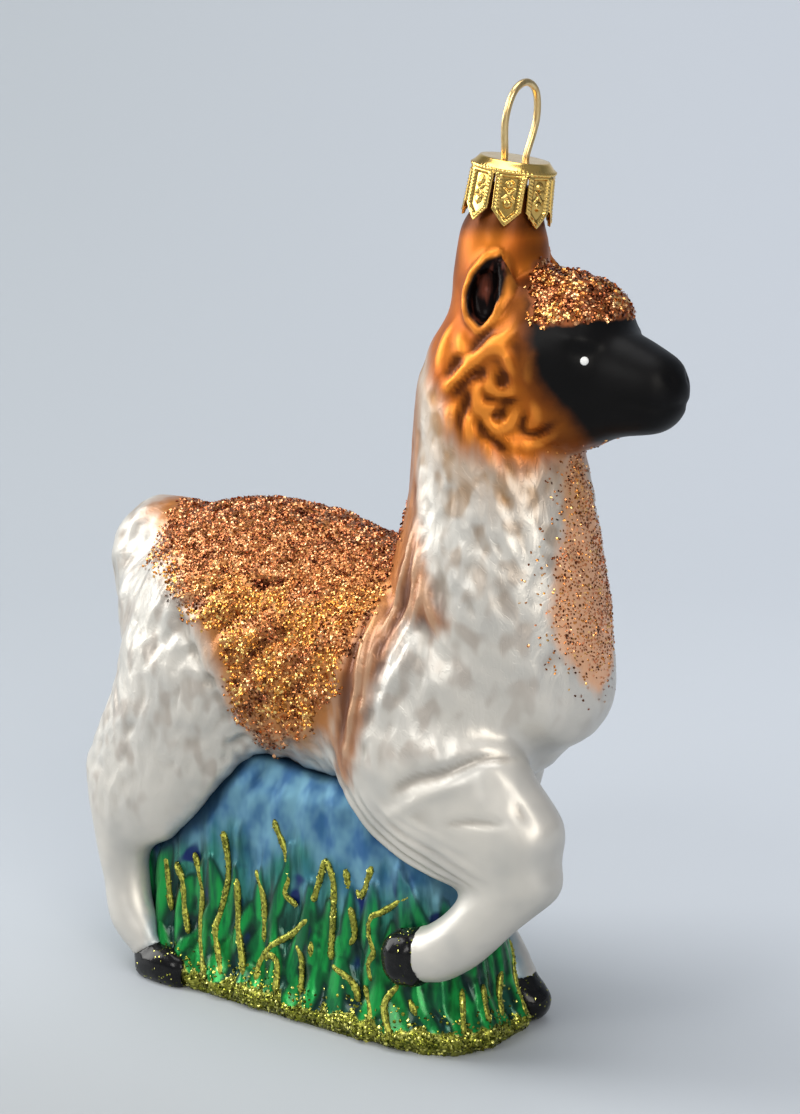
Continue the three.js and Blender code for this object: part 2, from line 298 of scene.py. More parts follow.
def settle(values, points, level=0.0, times=3):  # moves points onto the surface
    for _ in range(times):
        gradient = slope(values, points)
        away = (read(values, points) - level) / np.maximum((gradient ** 2).sum(1), 0.05)
        points = points - gradient * np.clip(away, -1, 1)[:, None]
    return points


def shellOf(values, level=0.0):
    grid = openvdb.FloatGrid(farOff)
    grid.copyFromArray(np.ascontiguousarray(values), ijk=tuple(int(n) for n in gridStart))
    grid.transform = spread
    points, quads = grid.convertToQuads(isovalue=level)
    quads = quads.astype(np.int64)
    # the faces are turned to point outwards
    middle = points[quads].mean(1)
    a, b, c, d = (points[quads[:, k]] for k in range(4))
    across = np.cross(c - a, d - b)
    if (across * slope(values, middle)).sum() < 0:
        quads = quads[:, ::-1]
    return points.astype(float), quads


def linked(name, data):  # an object in the scene
    made = bpy.data.objects.new(name, data)
    bpy.context.scene.collection.objects.link(made)
    return made


def plainMesh(name, places, faces):  # faces of any number of corners, places in m
    mesh = bpy.data.meshes.new(name)
    mesh.from_pydata([tuple(place) for place in places], [], faces)
    mesh.shade_smooth()
    return linked(name, mesh)


def meshOf(name, points, faces, attributes=None):  # an array of like faces, points in mm
    mesh = bpy.data.meshes.new(name)
    faces = np.asarray(faces)
    mesh.vertices.add(len(points))
    mesh.vertices.foreach_set("co", (np.asarray(points) * mm).astype(np.float32).ravel())
    mesh.loops.add(faces.size)
    mesh.loops.foreach_set("vertex_index", faces.astype(np.int32).ravel())
    mesh.polygons.add(len(faces))
    mesh.polygons.foreach_set("loop_start", np.arange(0, faces.size, faces.shape[1], dtype=np.int32))
    mesh.update(calc_edges=True)
    mesh.validate()
    for key, values in (attributes or {}).items():
        layer = mesh.attributes.new(key, "FLOAT", "POINT")
        layer.data.foreach_set("value", values.astype(np.float32))
    mesh.shade_smooth()
    return linked(name, mesh)


def ringsRound(path, wide, across, up, sides, flat=1.0):  # rings round a path, faces between them
    turn = (np.arange(sides) * 2 * np.pi / sides)[None, :, None]
    places = path[:, None] + wide * (np.cos(turn) * across[:, None] + flat * np.sin(turn) * up[:, None])
    grid = np.arange(len(path) * sides).reshape(-1, sides)
    here, ahead = grid[:-1], grid[1:]
    quads = np.stack([here, np.roll(here, -1, 1), np.roll(ahead, -1, 1), ahead], -1).reshape(-1, 4)
    return places.reshape(-1, 3), quads, grid


class Near:  # quick search for the points round a place
    def __init__(self, points, cell=2.5):
        self.cell = cell
        self.points = points
        keys = np.floor(points / cell).astype(int)
        order = np.lexsort(keys.T)
        keys = keys[order]
        starts = np.flatnonzero(np.r_[True, (keys[1:] != keys[:-1]).any(1)])
        ends = np.r_[starts[1:], len(keys)]
        self.cells = {tuple(keys[a]): order[a:b] for a, b in zip(starts, ends)}

    def round(self, place, reach):
        low = np.floor((place - reach) / self.cell).astype(int)
        high = np.floor((place + reach) / self.cell).astype(int)
        found = [self.cells[key] for key in
                 ((i, j, k) for i in range(low[0], high[0] + 1) for j in range(low[1], high[1] + 1)
                  for k in range(low[2], high[2] + 1)) if key in self.cells]
        if not found:
            return np.empty(0, int)
        found = np.concatenate(found)
        return found[((self.points[found] - place) ** 2).sum(1) < reach * reach]


body = {
    "torso": ["trunk", "neck", "head", "glass_stub"],
    "fillets": {"tail": 3.0, "foreleg_right": 1.6, "foreleg_left": 2.2, "hind_leg_right": 3.0,
                "hind_leg_left": 3.0, "ear_right": 0.9, "ear_left": 0.9},   # mm
    "soft": 0.95,       # blur of the large forms, mm
    "softEars": 0.4,    # blur round the ears
    "level": -0.02,     # mm inside the blurred surface, to make up for the blur
    "hoofFillet": 1.0,
    "underHoof": 0.6,   # how far above a hoof's edge the skin is already kept smooth
}
nodeFields = {name: distanceTo(name) for name in glassNodes + hoofNodes}
bodyField = np.minimum.reduce([nodeFields[name] for name in body["torso"]]) - field["grow"]
for name, reach in body["fillets"].items():
    bodyField = meld(bodyField, nodeFields[name] - field["grow"], reach)
hoofField = np.minimum.reduce([nodeFields[name] for name in hoofNodes])
limbField = np.minimum.reduce([nodeFields[name] for name in glassNodes if "leg" in name])
bodyField = meld(bodyField, hoofField - field["grow"], body["hoofFillet"])
earField = np.minimum(nodeFields["ear_right"], nodeFields["ear_left"])
detailed = 1 - fade(np.minimum(earField, hoofField), 0.2, 1.6)
bodyField = (soften(bodyField, body["soft"]) * (1 - detailed)
             + soften(bodyField, body["softEars"]) * detailed)
# the hooves are parted from the legs halfway between the two
parting = np.where(hoofField < 3, (limbField - hoofField) / 2, -farOff).astype(np.float32)
skinField = np.maximum(bodyField, parting)
say("body field")

points, quads = shellOf(skinField, body["level"])
painted = read(parting, points) > -body["underHoof"]
points = np.where(painted[:, None], points, settle(bodyField, points, body["level"], 2))
normals = unit(slope(bodyField, points))
say(f"skin of {len(points)} points")


# The coat as it was carved in the mould: where, how far the hint reaches, the way the locks lie
# (along x, along z), how deep they are cut, their length and width. Places are x and z in mm.
combing = [
    ((-37, 60), 4, (-0.75, -0.7), 0.85, 8.0, 2.6),    # tip of the tail
    ((-37, 53), 5, (-0.15, -1.0), 0.85, 8.0, 2.6),
    ((-27, 61), 4, (-0.9, -0.35), 0.50, 6.0, 2.4),    # root of the tail
    ((-26, 54), 5, (-0.62, -0.8), 0.85, 7.5, 2.3),    # rump
    ((-32, 43), 6, (-0.12, -1.0), 0.80, 6.5, 2.3),    # back of the thigh
    ((-23, 40), 6, (-0.15, -1.0), 0.75, 6.5, 2.3),    # thigh
    ((-31, 29), 5, (-0.25, -1.0), 0.50, 4.5, 2.2),    # hock
    ((-22, 26), 5, (-0.2, -0.9), 0.12, 5.0, 2.4),
    ((-31, 14), 8, (0.1, -1.0), 0.0, 5.0, 2.4),       # hind cannon, smooth
    ((-12, 59), 7, (-0.75, -0.6), 0.85, 6.5, 2.2),    # back
    ((-6, 49), 7, (-0.65, -0.75), 1.15, 7.5, 2.3),    # flank
    ((-1, 38), 5, (-0.12, -1.0), 0.95, 7.0, 2.0),     # belly fringe
    ((8, 58), 5, (-0.55, -0.8), 0.55, 7.0, 2.0),      # withers
    ((13, 47), 5, (-0.35, -1.0), 0.65, 8.0, 2.2),     # shoulder
    ((21, 50), 6, (-0.1, -1.0), 0.60, 6.5, 2.8),
    ((30, 46), 6, (0.1, -1.0), 0.18, 6.5, 3.2),       # chest, smooth
    ((34, 58), 7, (0.15, -1.0), 0.35, 6.0, 2.6),      # under the bib
    ((16, 70), 5, (-0.05, -1.0), 0.50, 10.0, 1.9),    # back of the neck
    ((23, 66), 5, (0.12, -1.0), 0.80, 6.5, 2.8),      # side of the neck
    ((23, 76), 5, (0.0, -1.0), 0.85, 7.0, 2.5),
    ((29, 72), 5, (0.2, -1.0), 0.70, 6.0, 2.7),
    ((17, 84), 3, (-0.2, -1.0), 0.50, 8.0, 2.0),      # behind the cheek
    ((26, 87), 6, (-0.3, -1.0), 0.0, 4.0, 1.8),       # cheek, where curls are cut singly
    ((42, 87), 9, (1.0, -0.2), 0.0, 4.0, 1.8),        # face
    ((23, 102), 7, (0.0, -1.0), 0.0, 4.0, 1.8),       # stub
    ((20, 33), 6, (0.85, -0.5), 0.08, 6.0, 2.4),      # raised thigh
    ((32, 34), 7, (0.7, -0.7), 0.0, 6.0, 2.4),
    ((28, 18), 8, (-0.6, -0.8), 0.0, 6.0, 2.4),       # raised shin
    ((21, 8), 6, (0.0, -1.0), 0.0, 6.0, 2.4),
]


def combed(places):
    x, _, z = places.T
    total = np.zeros((len(places), 5))
    weights = np.full(len(places), 1e-9)
    for (atX, atZ), reach, (lieX, lieZ), depth, length, width in combing:
        weight = np.exp(-((x - atX) ** 2 + (z - atZ) ** 2) / (reach * reach))
        total += weight[:, None] * np.array([lieX, lieZ, depth, length, width])
        weights += weight
    return total / weights[:, None]


coat = {
    "seed": 11,
    "spacing": 1.9,      # mm between lock roots
    "wander": 0.34,      # how far a lock's lie strays
    "wave": 0.34,        # mm, sideways wave of a lock
    "proud": 0.5,        # share of a lock's depth above the smooth form
    "rounds": 3,         # how often the relief is evened out, as blown glass softens it
    "wideRounds": 40,    # the same for the average that tells crests from hollows
    "curls": 1.05,       # the cheek's carving, after it is softened
    "forelock": 0.3,     # mm, lumps of the forelock
    "earBorder": 0.25,   # mm, proud border of an ear
    "earDish": 1.5,      # mm, depth of its dish
}
skinEnds = np.vstack([quads[:, [k, (k + 1) % 4]] for k in range(4)])


def evened(values, rounds, ends=skinEnds):  # each value drawn towards its neighbours on the mesh
    count = len(values)
    neighbours = np.maximum(np.bincount(ends.ravel(), minlength=count), 1)
    for _ in range(rounds):
        total = np.bincount(ends[:, 0], values[ends[:, 1]], count)
        total += np.bincount(ends[:, 1], values[ends[:, 0]], count)
        values = 0.4 * values + 0.6 * total / neighbours
    return values


def layLocks(points, normals):  # the relief of the coat and where each lock's strands run
    rng = np.random.default_rng(coat["seed"])
    hints = combed(points)
    lie = np.stack([hints[:, 0], 0 * hints[:, 0], hints[:, 1]], axis=1)
    lie = unit(lie - normals * (lie * normals).sum(1)[:, None])
    order = rng.permutation(len(points))
    cells = np.floor(points[order] / coat["spacing"]).astype(int)
    _, first = np.unique(cells, axis=0, return_index=True)
    roots = order[np.sort(first)]
    roots = roots[hints[roots, 2] > 0.05]
    height = np.zeros(len(points))
    across = np.zeros(len(points))
    near = Near(points)
    for root in roots:
        _, _, depth, length, width = hints[root]
        length *= rng.uniform(0.75, 1.25)
        width *= rng.uniform(0.75, 1.25)
        stray, lift = rng.normal(0, coat["wander"]), rng.uniform(0.7, 1.1)
        phase, bend = rng.uniform(0, 6.3), rng.normal(0, 0.04)
        side = np.cross(normals[root], lie[root])
        along = lie[root] * math.cos(stray) + side * math.sin(stray)
        side = np.cross(normals[root], along)
        found = near.round(points[root] + along * length * 0.1, length * 0.62)
        found = found[normals[found] @ normals[root] > 0.25]
        offset = points[found] - points[root]
        u = offset @ along / length + 0.42
        v = offset @ side - coat["wave"] * np.sin(u * 5 + phase) - bend * (u * length) ** 2 * 0.5
        reach = width * 0.62 * np.sqrt(np.clip(u * 3, 0, 1)) * np.clip(1.02 - u, 0, 1) ** 0.6
        ridge = np.clip(1 - (v / np.maximum(reach, 1e-3)) ** 2, 0, 1) ** 0.75
        rise = depth * lift * ridge * ((u > 0) & (u < 1)) * (0.3 + 0.7 * fade(u, 0.0, 0.8))
        wins = rise > height[found]
        height[found[wins]] = rise[wins]
        across[found[wins]] = v[wins]
    return evened(height, coat["rounds"]), across, hints[:, 2]


height, across, depth = layLocks(points, normals)
say("locks of the coat")

x, y, z = points.T
side = np.abs(y)

# Ridges (positive) and furrows (negative) cut along lines: places in mm, half width, depth.
# "both" lines are cut on the two sides, "right" ones only on the side of the raised leg.
carving = {
    "both": [
        # strings of wool that run from the neck to the withers
        ([(16.6, 9.4, 68), (16.5, 10.6, 63.3), (15.7, 11.1, 59.4), (14.9, 12.1, 55.5),
          (14.4, 13.5, 53.0)], 0.55, 0.85),
        ([(18.0, 10.4, 67), (18.6, 11.6, 62.2), (18.5, 12.2, 58.6), (16.6, 12.6, 55.3),
          (15.4, 13.9, 51.5)], 0.55, 0.9),
        ([(19.2, 11.2, 65), (20.0, 12.3, 60.1), (19.0, 12.5, 56.7), (17.5, 13.4, 53.5),
          (15.9, 14.7, 48.5)], 0.6, 0.9),
        ([(20.4, 11.8, 63.5), (21.3, 12.7, 59.1), (22.4, 12.9, 56.7), (24.0, 12.7, 53.5)], 0.55, 0.7),
        ([(19.4, 12.8, 54.6), (18.6, 14.0, 51.7), (17.0, 14.9, 48.5), (16.0, 15, 45)], 0.6, 0.8),
        ([(12.6, 11.8, 58), (12.0, 13.2, 53), (11.9, 14.8, 47.5), (11.2, 15.2, 42),
          (10.2, 14.6, 37.5)], 0.5, 0.75),
        ([(13.6, 12.2, 56), (13.4, 13.9, 51), (13.4, 15.0, 46), (12.9, 15.4, 41.5)], 0.5, 0.6),
        # the parting between the shoulder and the flank
        ([(11.5, 12.4, 55.5), (10.4, 14.6, 50), (9.6, 15.2, 44), (8.6, 14.6, 38.5)], 0.9, -0.55),
        # the front edge of the thigh
        ([(-20.5, 13.5, 55.0), (-17.8, 14.4, 50.5), (-14.8, 14.8, 46.5), (-12.4, 14.2, 42),
          (-11.6, 12.8, 38)], 0.95, -0.6),
        # curls of the cheek and throat, each a ridge, and the pits between them
        ([(30.5, 7.9, 94.0), (30, 8.2, 92.5), (28.5, 8.5, 91.5), (26.5, 8.5, 91.0), (25.0, 8.5, 89.5),
          (24.0, 8.7, 88.0), (22.5, 9.0, 86.5), (20.5, 9.0, 85.0)], 0.75, 0.65),
        ([(20.2, 6.5, 93.0), (19.5, 7.0, 91.0), (19.3, 8.0, 89.5), (19.0, 8.5, 87.5)], 0.8, 0.45),
        ([(21.5, 7.0, 92.0), (22.5, 8.0, 90.5), (23.5, 8.5, 89.2)], 0.6, 0.4),
        ([(26.5, 8.5, 89.6), (28.0, 8.5, 90.5), (29.5, 8.5, 90), (30.2, 8.5, 88.5),
          (30.5, 8.5, 87)], 0.65, 0.5),
        ([(28.0, 8.5, 88.4), (27.0, 8.0, 86.8), (27.0, 8.3, 85.6), (28.2, 8.0, 85), (29.6, 8.0, 85.3),
          (30.5, 8.0, 86.2)], 0.5, 0.5),
        ([(25.5, 9.0, 86.2), (25.4, 9.0, 84.3), (26.3, 9.0, 83.2), (27.5, 8.6, 83.4),
          (28.2, 8.2, 84.0)], 0.5, 0.6),
        ([(26.3, 8.6, 82.8), (27.0, 8.5, 81.6), (28.0, 8.0, 81), (29.0, 7.5, 81.4), (29.8, 7.2, 82.5),
          (30.5, 7.0, 84.0)], 0.5, 0.6),
        ([(25.6, 9.0, 82.8), (26.7, 8.5, 81), (27.4, 8.5, 80.2), (28.5, 8.0, 79.4),
          (29.7, 7.5, 78.8)], 0.45, 0.4),
        ([(32.4, 7.0, 84.8), (32.6, 6.5, 82.8), (31.4, 6, 81.2), (29.8, 6.5, 80.2)], 0.8, 0.45),
        ([(35.5, 6.0, 82.0), (34.0, 6.0, 80.4), (31.4, 5, 79.2), (29.4, 6.5, 78.4)], 0.7, 0.45),
        ([(33.0, 7.4, 90.5), (32.4, 7.6, 88.4), (32.2, 7.4, 86.6)], 0.7, 0.35),
        ([(22.6, 9.2, 84.8), (22, 9.3, 82.5), (22.2, 9.2, 80.3)], 0.7, 0.45),
        ([(24.6, 9.3, 83), (24.5, 9.3, 80.8), (25.2, 9, 78.6)], 0.65, 0.4),
        ([(26.6, 8, 79), (27, 8, 77.2), (27.6, 8, 75.4)], 0.7, 0.35),
        ([(27.0, 8.0, 93.0), (26.0, 8.0, 91.6), (25.0, 8.5, 90.5), (24.0, 8.5, 89.7)], 0.6, -0.6),
        ([(23.0, 8.5, 89.2), (22.0, 8.5, 88.0), (21.0, 9.0, 86.5)], 0.5, -0.65),
        ([(24.8, 8.5, 87.8), (23.5, 9.0, 86.3), (22.5, 9.5, 84.8), (21.8, 9.5, 83.2)], 0.55, -0.6),
        ([(26.6, 8.5, 87.0), (25.2, 8.5, 87.4), (24.2, 9, 86.8)], 0.5, -0.55),
        ([(29.6, 8.5, 87.4), (28.8, 8.5, 87.0), (28.6, 8.0, 86.0)], 0.45, -0.75),
        ([(26.4, 8.6, 84.6), (27.5, 8.0, 84.4), (28.8, 7.7, 84.3), (30.2, 7.4, 84.6)], 0.4, -0.55),
        ([(27.8, 8.1, 82.7), (28.3, 8, 82.1)], 0.6, -1.0),
        ([(24.5, 9.0, 85.2), (24.0, 9.5, 83.5), (23.4, 9.5, 82.0), (23.4, 9.5, 80)], 0.5, -0.5),
        ([(25.8, 8.7, 81.6), (26.7, 8.5, 80.3), (28.0, 8.4, 79.2), (29.2, 7.5, 78.0)], 0.4, -0.5),
        ([(30.6, 6.8, 82.4), (30.8, 6.5, 80.6), (32.2, 6, 80.1), (34.4, 6.2, 81.3),
          (35.8, 6, 82.4)], 0.5, -0.55),
        # nostril, mouth and brow
        ([(47.9, 2.4, 88.2), (48.6, 1.7, 87.5), (48.7, 1.4, 87.0)], 0.4, -0.42),
        ([(48.7, 0, 84.7), (47.6, 3.0, 84.2), (45.5, 4.4, 84.7), (43.0, 4.9, 85.0)], 0.4, -0.3),
        ([(36.4, 7.4, 92.4), (38.2, 6.2, 92.0), (40.2, 4.6, 91.6)], 0.8, 0.35),
        ([(37.4, 7.2, 90.4), (39.0, 6.4, 90.5), (40.5, 5.4, 90.2)], 0.75, -0.25),
    ],
    "right": [
        # parallel locks under the elbow of the raised leg
        ([(9.0, 13.2, 32.6), (13.4, 13.5, 28.2), (19.1, 13.8, 25.8), (25.6, 13.6, 23.8)], 0.6, 0.5),
        ([(11.0, 14.6, 33.2), (15.4, 15.0, 29.6), (20.8, 15.0, 26.9), (27.4, 14.4, 24.2)], 0.55, 0.55),
        ([(13.0, 15.4, 33.6), (17.6, 15.6, 30.2), (23.4, 15.4, 28.0), (29.9, 14.2, 24.6)], 0.55, 0.55),
        ([(15.4, 15.8, 33.6), (19.6, 15.9, 31.2), (25.2, 15.7, 29.2), (31.0, 14.8, 26.2)], 0.5, 0.45),
        ([(18.0, 16.1, 33.2), (22.6, 16.1, 31.4), (28.0, 15.6, 29.6)], 0.5, 0.35),
        # the crease under the chest and the blade of the shoulder under it
        ([(18.6, 16.4, 35.6), (21.9, 16.5, 37.6), (25.6, 15.8, 38.8), (29.7, 13.9, 41.0),
          (33.2, 10.7, 41.2)], 0.75, -0.75),
        ([(17.0, 16.1, 31.8), (20.2, 16.4, 33.6), (23.6, 16.4, 35.8), (28.6, 15.1, 38.0)], 0.7, 0.4),
        ([(26.2, 16.1, 32.6), (29.8, 15.8, 33.4), (33.6, 14.7, 33.6)], 0.5, -0.35),
        ([(34.8, 13.8, 36.6), (35.3, 13.5, 35.0), (36.0, 12.8, 33.6)], 0.7, -0.3),
    ],
}


def score(line, halfWidth, deep, sign):
    path = smoothPath(line, 6) * [1, sign, 1]
    path = settle(bodyField, path, body["level"])
    low, high = path.min(0) - 3 * halfWidth, path.max(0) + 3 * halfWidth
    close = np.flatnonzero(((points > low) & (points < high)).all(1))
    nearest = np.full(len(close), 9.0)
    ends = np.zeros(len(close))
    for place, (a, b) in enumerate(zip(path, path[1:])):
        t = np.clip((points[close] - a) @ (b - a) / ((b - a) @ (b - a)), 0, 1)
        away = np.linalg.norm(points[close] - a - t[:, None] * (b - a), axis=1)
        better = away < nearest
        nearest[better] = away[better]
        ends[better] = (place + t[better]) / (len(path) - 1)
    fades = np.sin(np.pi * np.clip(ends, 0.02, 0.98)) ** 0.45
    return close, deep * fades * np.exp(-(nearest / halfWidth) ** 2)


carved = np.zeros(len(points))
for sides, lines in (((-1, 1), carving["both"]), ((-1,), carving["right"])):
    for line, halfWidth, deep in lines:
        for sign in sides:
            close, amount = score(line, halfWidth, deep, sign)
            carved[close] += amount

# where the cheek's curls are, which come out softer
curls = fade(z, 75, 78) * (1 - fade(z, 94, 96)) * fade(x, 17, 19) * (1 - fade(x, 35, 37))
curls *= fade(side, 3, 5)
carved = carved * (1 - curls) + coat["curls"] * evened(carved, 2) * curls
relief = evened(height - depth * (1 - coat["proud"]) + carved, 1)

# outlines of what is glittered, as (x, z); the forelock's glue lies in lumps
forelockOutline = [(28.7, 100.6), (28.8, 99.6), (29.8, 98.6), (30.6, 97.4), (31.9, 96), (31.8, 94.5),
                   (34, 93.6), (36, 93.9), (37.5, 94), (39.2, 94.4), (42, 94.4), (43, 103), (31, 103)]
saddleOutline = [(-31, 69), (-29.8, 62.5), (-30.4, 57), (-27, 57.6), (-24, 56.6), (-21.4, 55.8),
                 (-19.2, 52.8), (-15.6, 52.4), (-11.6, 52), (-9.7, 49), (-9.6, 46), (-10.4, 43.4),
                 (-9.8, 40.2), (-8.9, 37.4), (-7.4, 34.2), (-5.4, 36.2), (-3.4, 36.6), (-0.1, 39.2),
                 (2, 38.6), (4, 41.7), (7, 44.3), (8.8, 48.2), (9.6, 51.3), (10.6, 54), (12.0, 56.7),
                 (11.4, 59.8), (12.2, 63.6), (12.6, 69)]
# half of the bib, as (y, z)
bibOutline = [(0, 77.6), (2.0, 76.6), (3.1, 73), (3.7, 69), (4.8, 67), (6.0, 62.3), (7.0, 58.6),
              (6.4, 54.2), (4.9, 52), (3.2, 49.6), (0, 47.2)]
rag = noise(points / 1.3, 21) * 0.55 + noise(points / 0.6, 22) * 0.3
forelock = distanceInside(forelockOutline, x, z)
saddle = distanceInside(saddleOutline, x, z)
bib = distanceInside(bibOutline + [(-a, b) for a, b in bibOutline[::-1]], y, z)
bib = np.where(x > 29, bib, -9)
relief += coat["forelock"] * fade(forelock + rag * 0.5, -0.2, 1.2) * (0.3 + noise(points / 1.1, 23))
# the dish of each ear and its proud border
earOutline = [(26.7, 101.6), (27.8, 99.4), (27.9, 97), (26.8, 94.6), (25.1, 92.8), (23.2, 94.2),
              (22.6, 96.6), (23.4, 99.0), (25.0, 101.0)]
earHollow = np.where(side > 5.2, distanceInside(earOutline, x, z), -9)
earHollow = np.where(read(earField, points) < 1.6, earHollow, -9)
relief += (coat["earBorder"] * np.exp(-((earHollow + 0.5) / 0.4) ** 2)
           - coat["earDish"] * fade(earHollow, -0.1, 1.3))
shaped = points + normals * relief[:, None]
shaped[painted] = points[painted]
say("carving")

# where each paint lies, as distances in mm that a material fades across
amberOutline = [(10, 92), (16.2, 90), (18.2, 86.2), (20.6, 83.6), (22.4, 80.4), (24.6, 78.4),
                (28.4, 76.8), (31.5, 76.4), (34.5, 78), (60, 78), (60, 120), (10, 120)]
faceOutline = [(31.6, 97), (32.5, 93.8), (33.3, 90.5), (33.9, 87.7), (35.1, 85.4), (37.0, 83.3),
               (38.0, 81.6), (38.6, 78), (60, 78), (60, 100), (34, 100)]
napeOutline = [(0, 90), (12.6, 88), (14.6, 84), (15.4, 77), (16.4, 70), (18, 66), (20.4, 61.5), (23.4, 57),
               (22.5, 56), (19.6, 57.5), (17.4, 56.2), (15.6, 52.5), (13.8, 48), (12.8, 43), (11.2, 38),
               (9.8, 35), (7.6, 36), (9, 44), (10, 52), (11, 58), (0, 64)]
lacquerOutline = [(-38, 72), (-35, 62.6), (-30, 59.6), (-22.6, 56.8), (-18.6, 52.6), (-15.6, 49.6),
                  (-13.6, 46.2), (-12.2, 42.3), (-10.8, 39), (-9.2, 36), (-8.4, 32.6), (-6.2, 34),
                  (-4.2, 33.2), (-1.4, 36), (1.5, 35), (4.4, 38), (8.6, 38.8), (10.2, 43), (11.2, 47.5),
                  (12.4, 52), (14.4, 56), (16.5, 61), (16, 72)]
amber = distanceInside(amberOutline, x, z)
face = distanceInside(faceOutline, x, z)
nape = distanceInside(napeOutline, x, z)
lacquer = np.where(x < 16, distanceInside(lacquerOutline, x, z), -9)
smoothed = fade(depth, 0.05, 0.3)
# crests above 0 and hollows below it, against the relief's own wide average; the paint lightens the crests as
# painted highlight and darkens the hollows as painted shade
lumps = evened(relief, coat["wideRounds"])
lit = (relief - lumps) / (0.3 - 0.1 * curls)
hollow = fade(-lit, 0.05, 0.9)
moundField = distanceTo("grass_mound")
overspray = read(moundField, points)
capFoot = (23.3, 0, 105.3)      # mm, the cap's middle where its tabs end
# brown on the amber, as painted shade under the cap and beside the ear and the forelock, and airbrushed brown
# at the jaw: place (x, z), reach and strength
brownShadeSpots = [((29.4, 98.2), 1.5, 1.0), ((28.8, 95.6), 1.3, 0.6), ((18.2, 100.5), 2.4, 0.6),
              ((28.6, 102), 1.3, 0.6), ((25.9, 91.8), 1.2, 0.7), ((31.6, 93.6), 1.3, 0.7),
              ((35, 80), 2.5, 0.7)]
brownShadeNear = np.zeros(len(points))
for (spotX, spotZ), reach, strength in brownShadeSpots:
    spot = strength * np.exp(-((x - spotX) ** 2 + (z - spotZ) ** 2) / reach ** 2)
    brownShadeNear = np.maximum(brownShadeNear, spot)

skinPaint = {"amber": amber, "face": face, "nape": nape, "lacquer": lacquer, "bib": bib,
             "forelock": forelock, "hollow": hollow, "across": across, "strand": smoothed,
             "overspray": overspray, "earHollow": earHollow, "lit": np.clip(lit, -1, 1),
             "capNear": capFoot[2] - z, "brownShade": brownShadeNear}
skin = meshOf("llama_skin", shaped, quads, skinPaint)
say("skin mesh")


skinTints = {
    "pearl": ((0.61, 0.58, 0.525), (0.50, 0.485, 0.45)),
    "spots": ((0.34, 0.28, 0.235), (0.27, 0.18, 0.105)),      # on the body, on the neck
    "hollowShade": ((0.29, 0.25, 0.205), (0.21, 0.125, 0.06)),      # painted shade in their hollows, on the body, on the neck
    "sprayAndMoundReflection": (0.14, 0.27, 0.36),                           # beside the mound: blue overspray with a painted reflection of the mound
    # painted shade in the crease where the body meets the mound
    "moundLine": (0.006, 0.022, 0.05),
    "apricot": ((0.34, 0.135, 0.048), (0.12, 0.032, 0.009)),  # nape: plain, painted shade in the hollows
    # painted highlight on the crests of the nape
    "apricotHighlight": (0.60, 0.40, 0.25),
    "saddle": ((0.46, 0.18, 0.05), (0.17, 0.05, 0.012)),      # under the glitter: plain, painted shade in the hollows
    # painted highlight on the crests under the glitter
    "saddleHighlight": (0.80, 0.50, 0.22),
    "bib": (0.86, 0.43, 0.215),
    "olive": (0.36, 0.18, 0.055),                             # drift of brown below the cheek, darker in the hollows as painted shade
    "honey": ((0.50, 0.145, 0.014), (0.34, 0.08, 0.008)),     # amber of the head
    # painted highlight on the crests of the amber and painted shade in its hollows
    "honeyHighlight": (0.86, 0.29, 0.04),
    "honeyShade": (0.06, 0.013, 0.002),
    "faceEdge": (0.06, 0.018, 0.006),
    "face": (0.0035, 0.0033, 0.0035),
    "glue": (0.30, 0.09, 0.03),                               # under the forelock's glitter
    "brownShade": (0.065, 0.017, 0.005),                           # painted shade under the cap and in spots, brown at the jaw
    "ear": ((0.004, 0.002, 0.002), (0.11, 0.028, 0.016)),
}


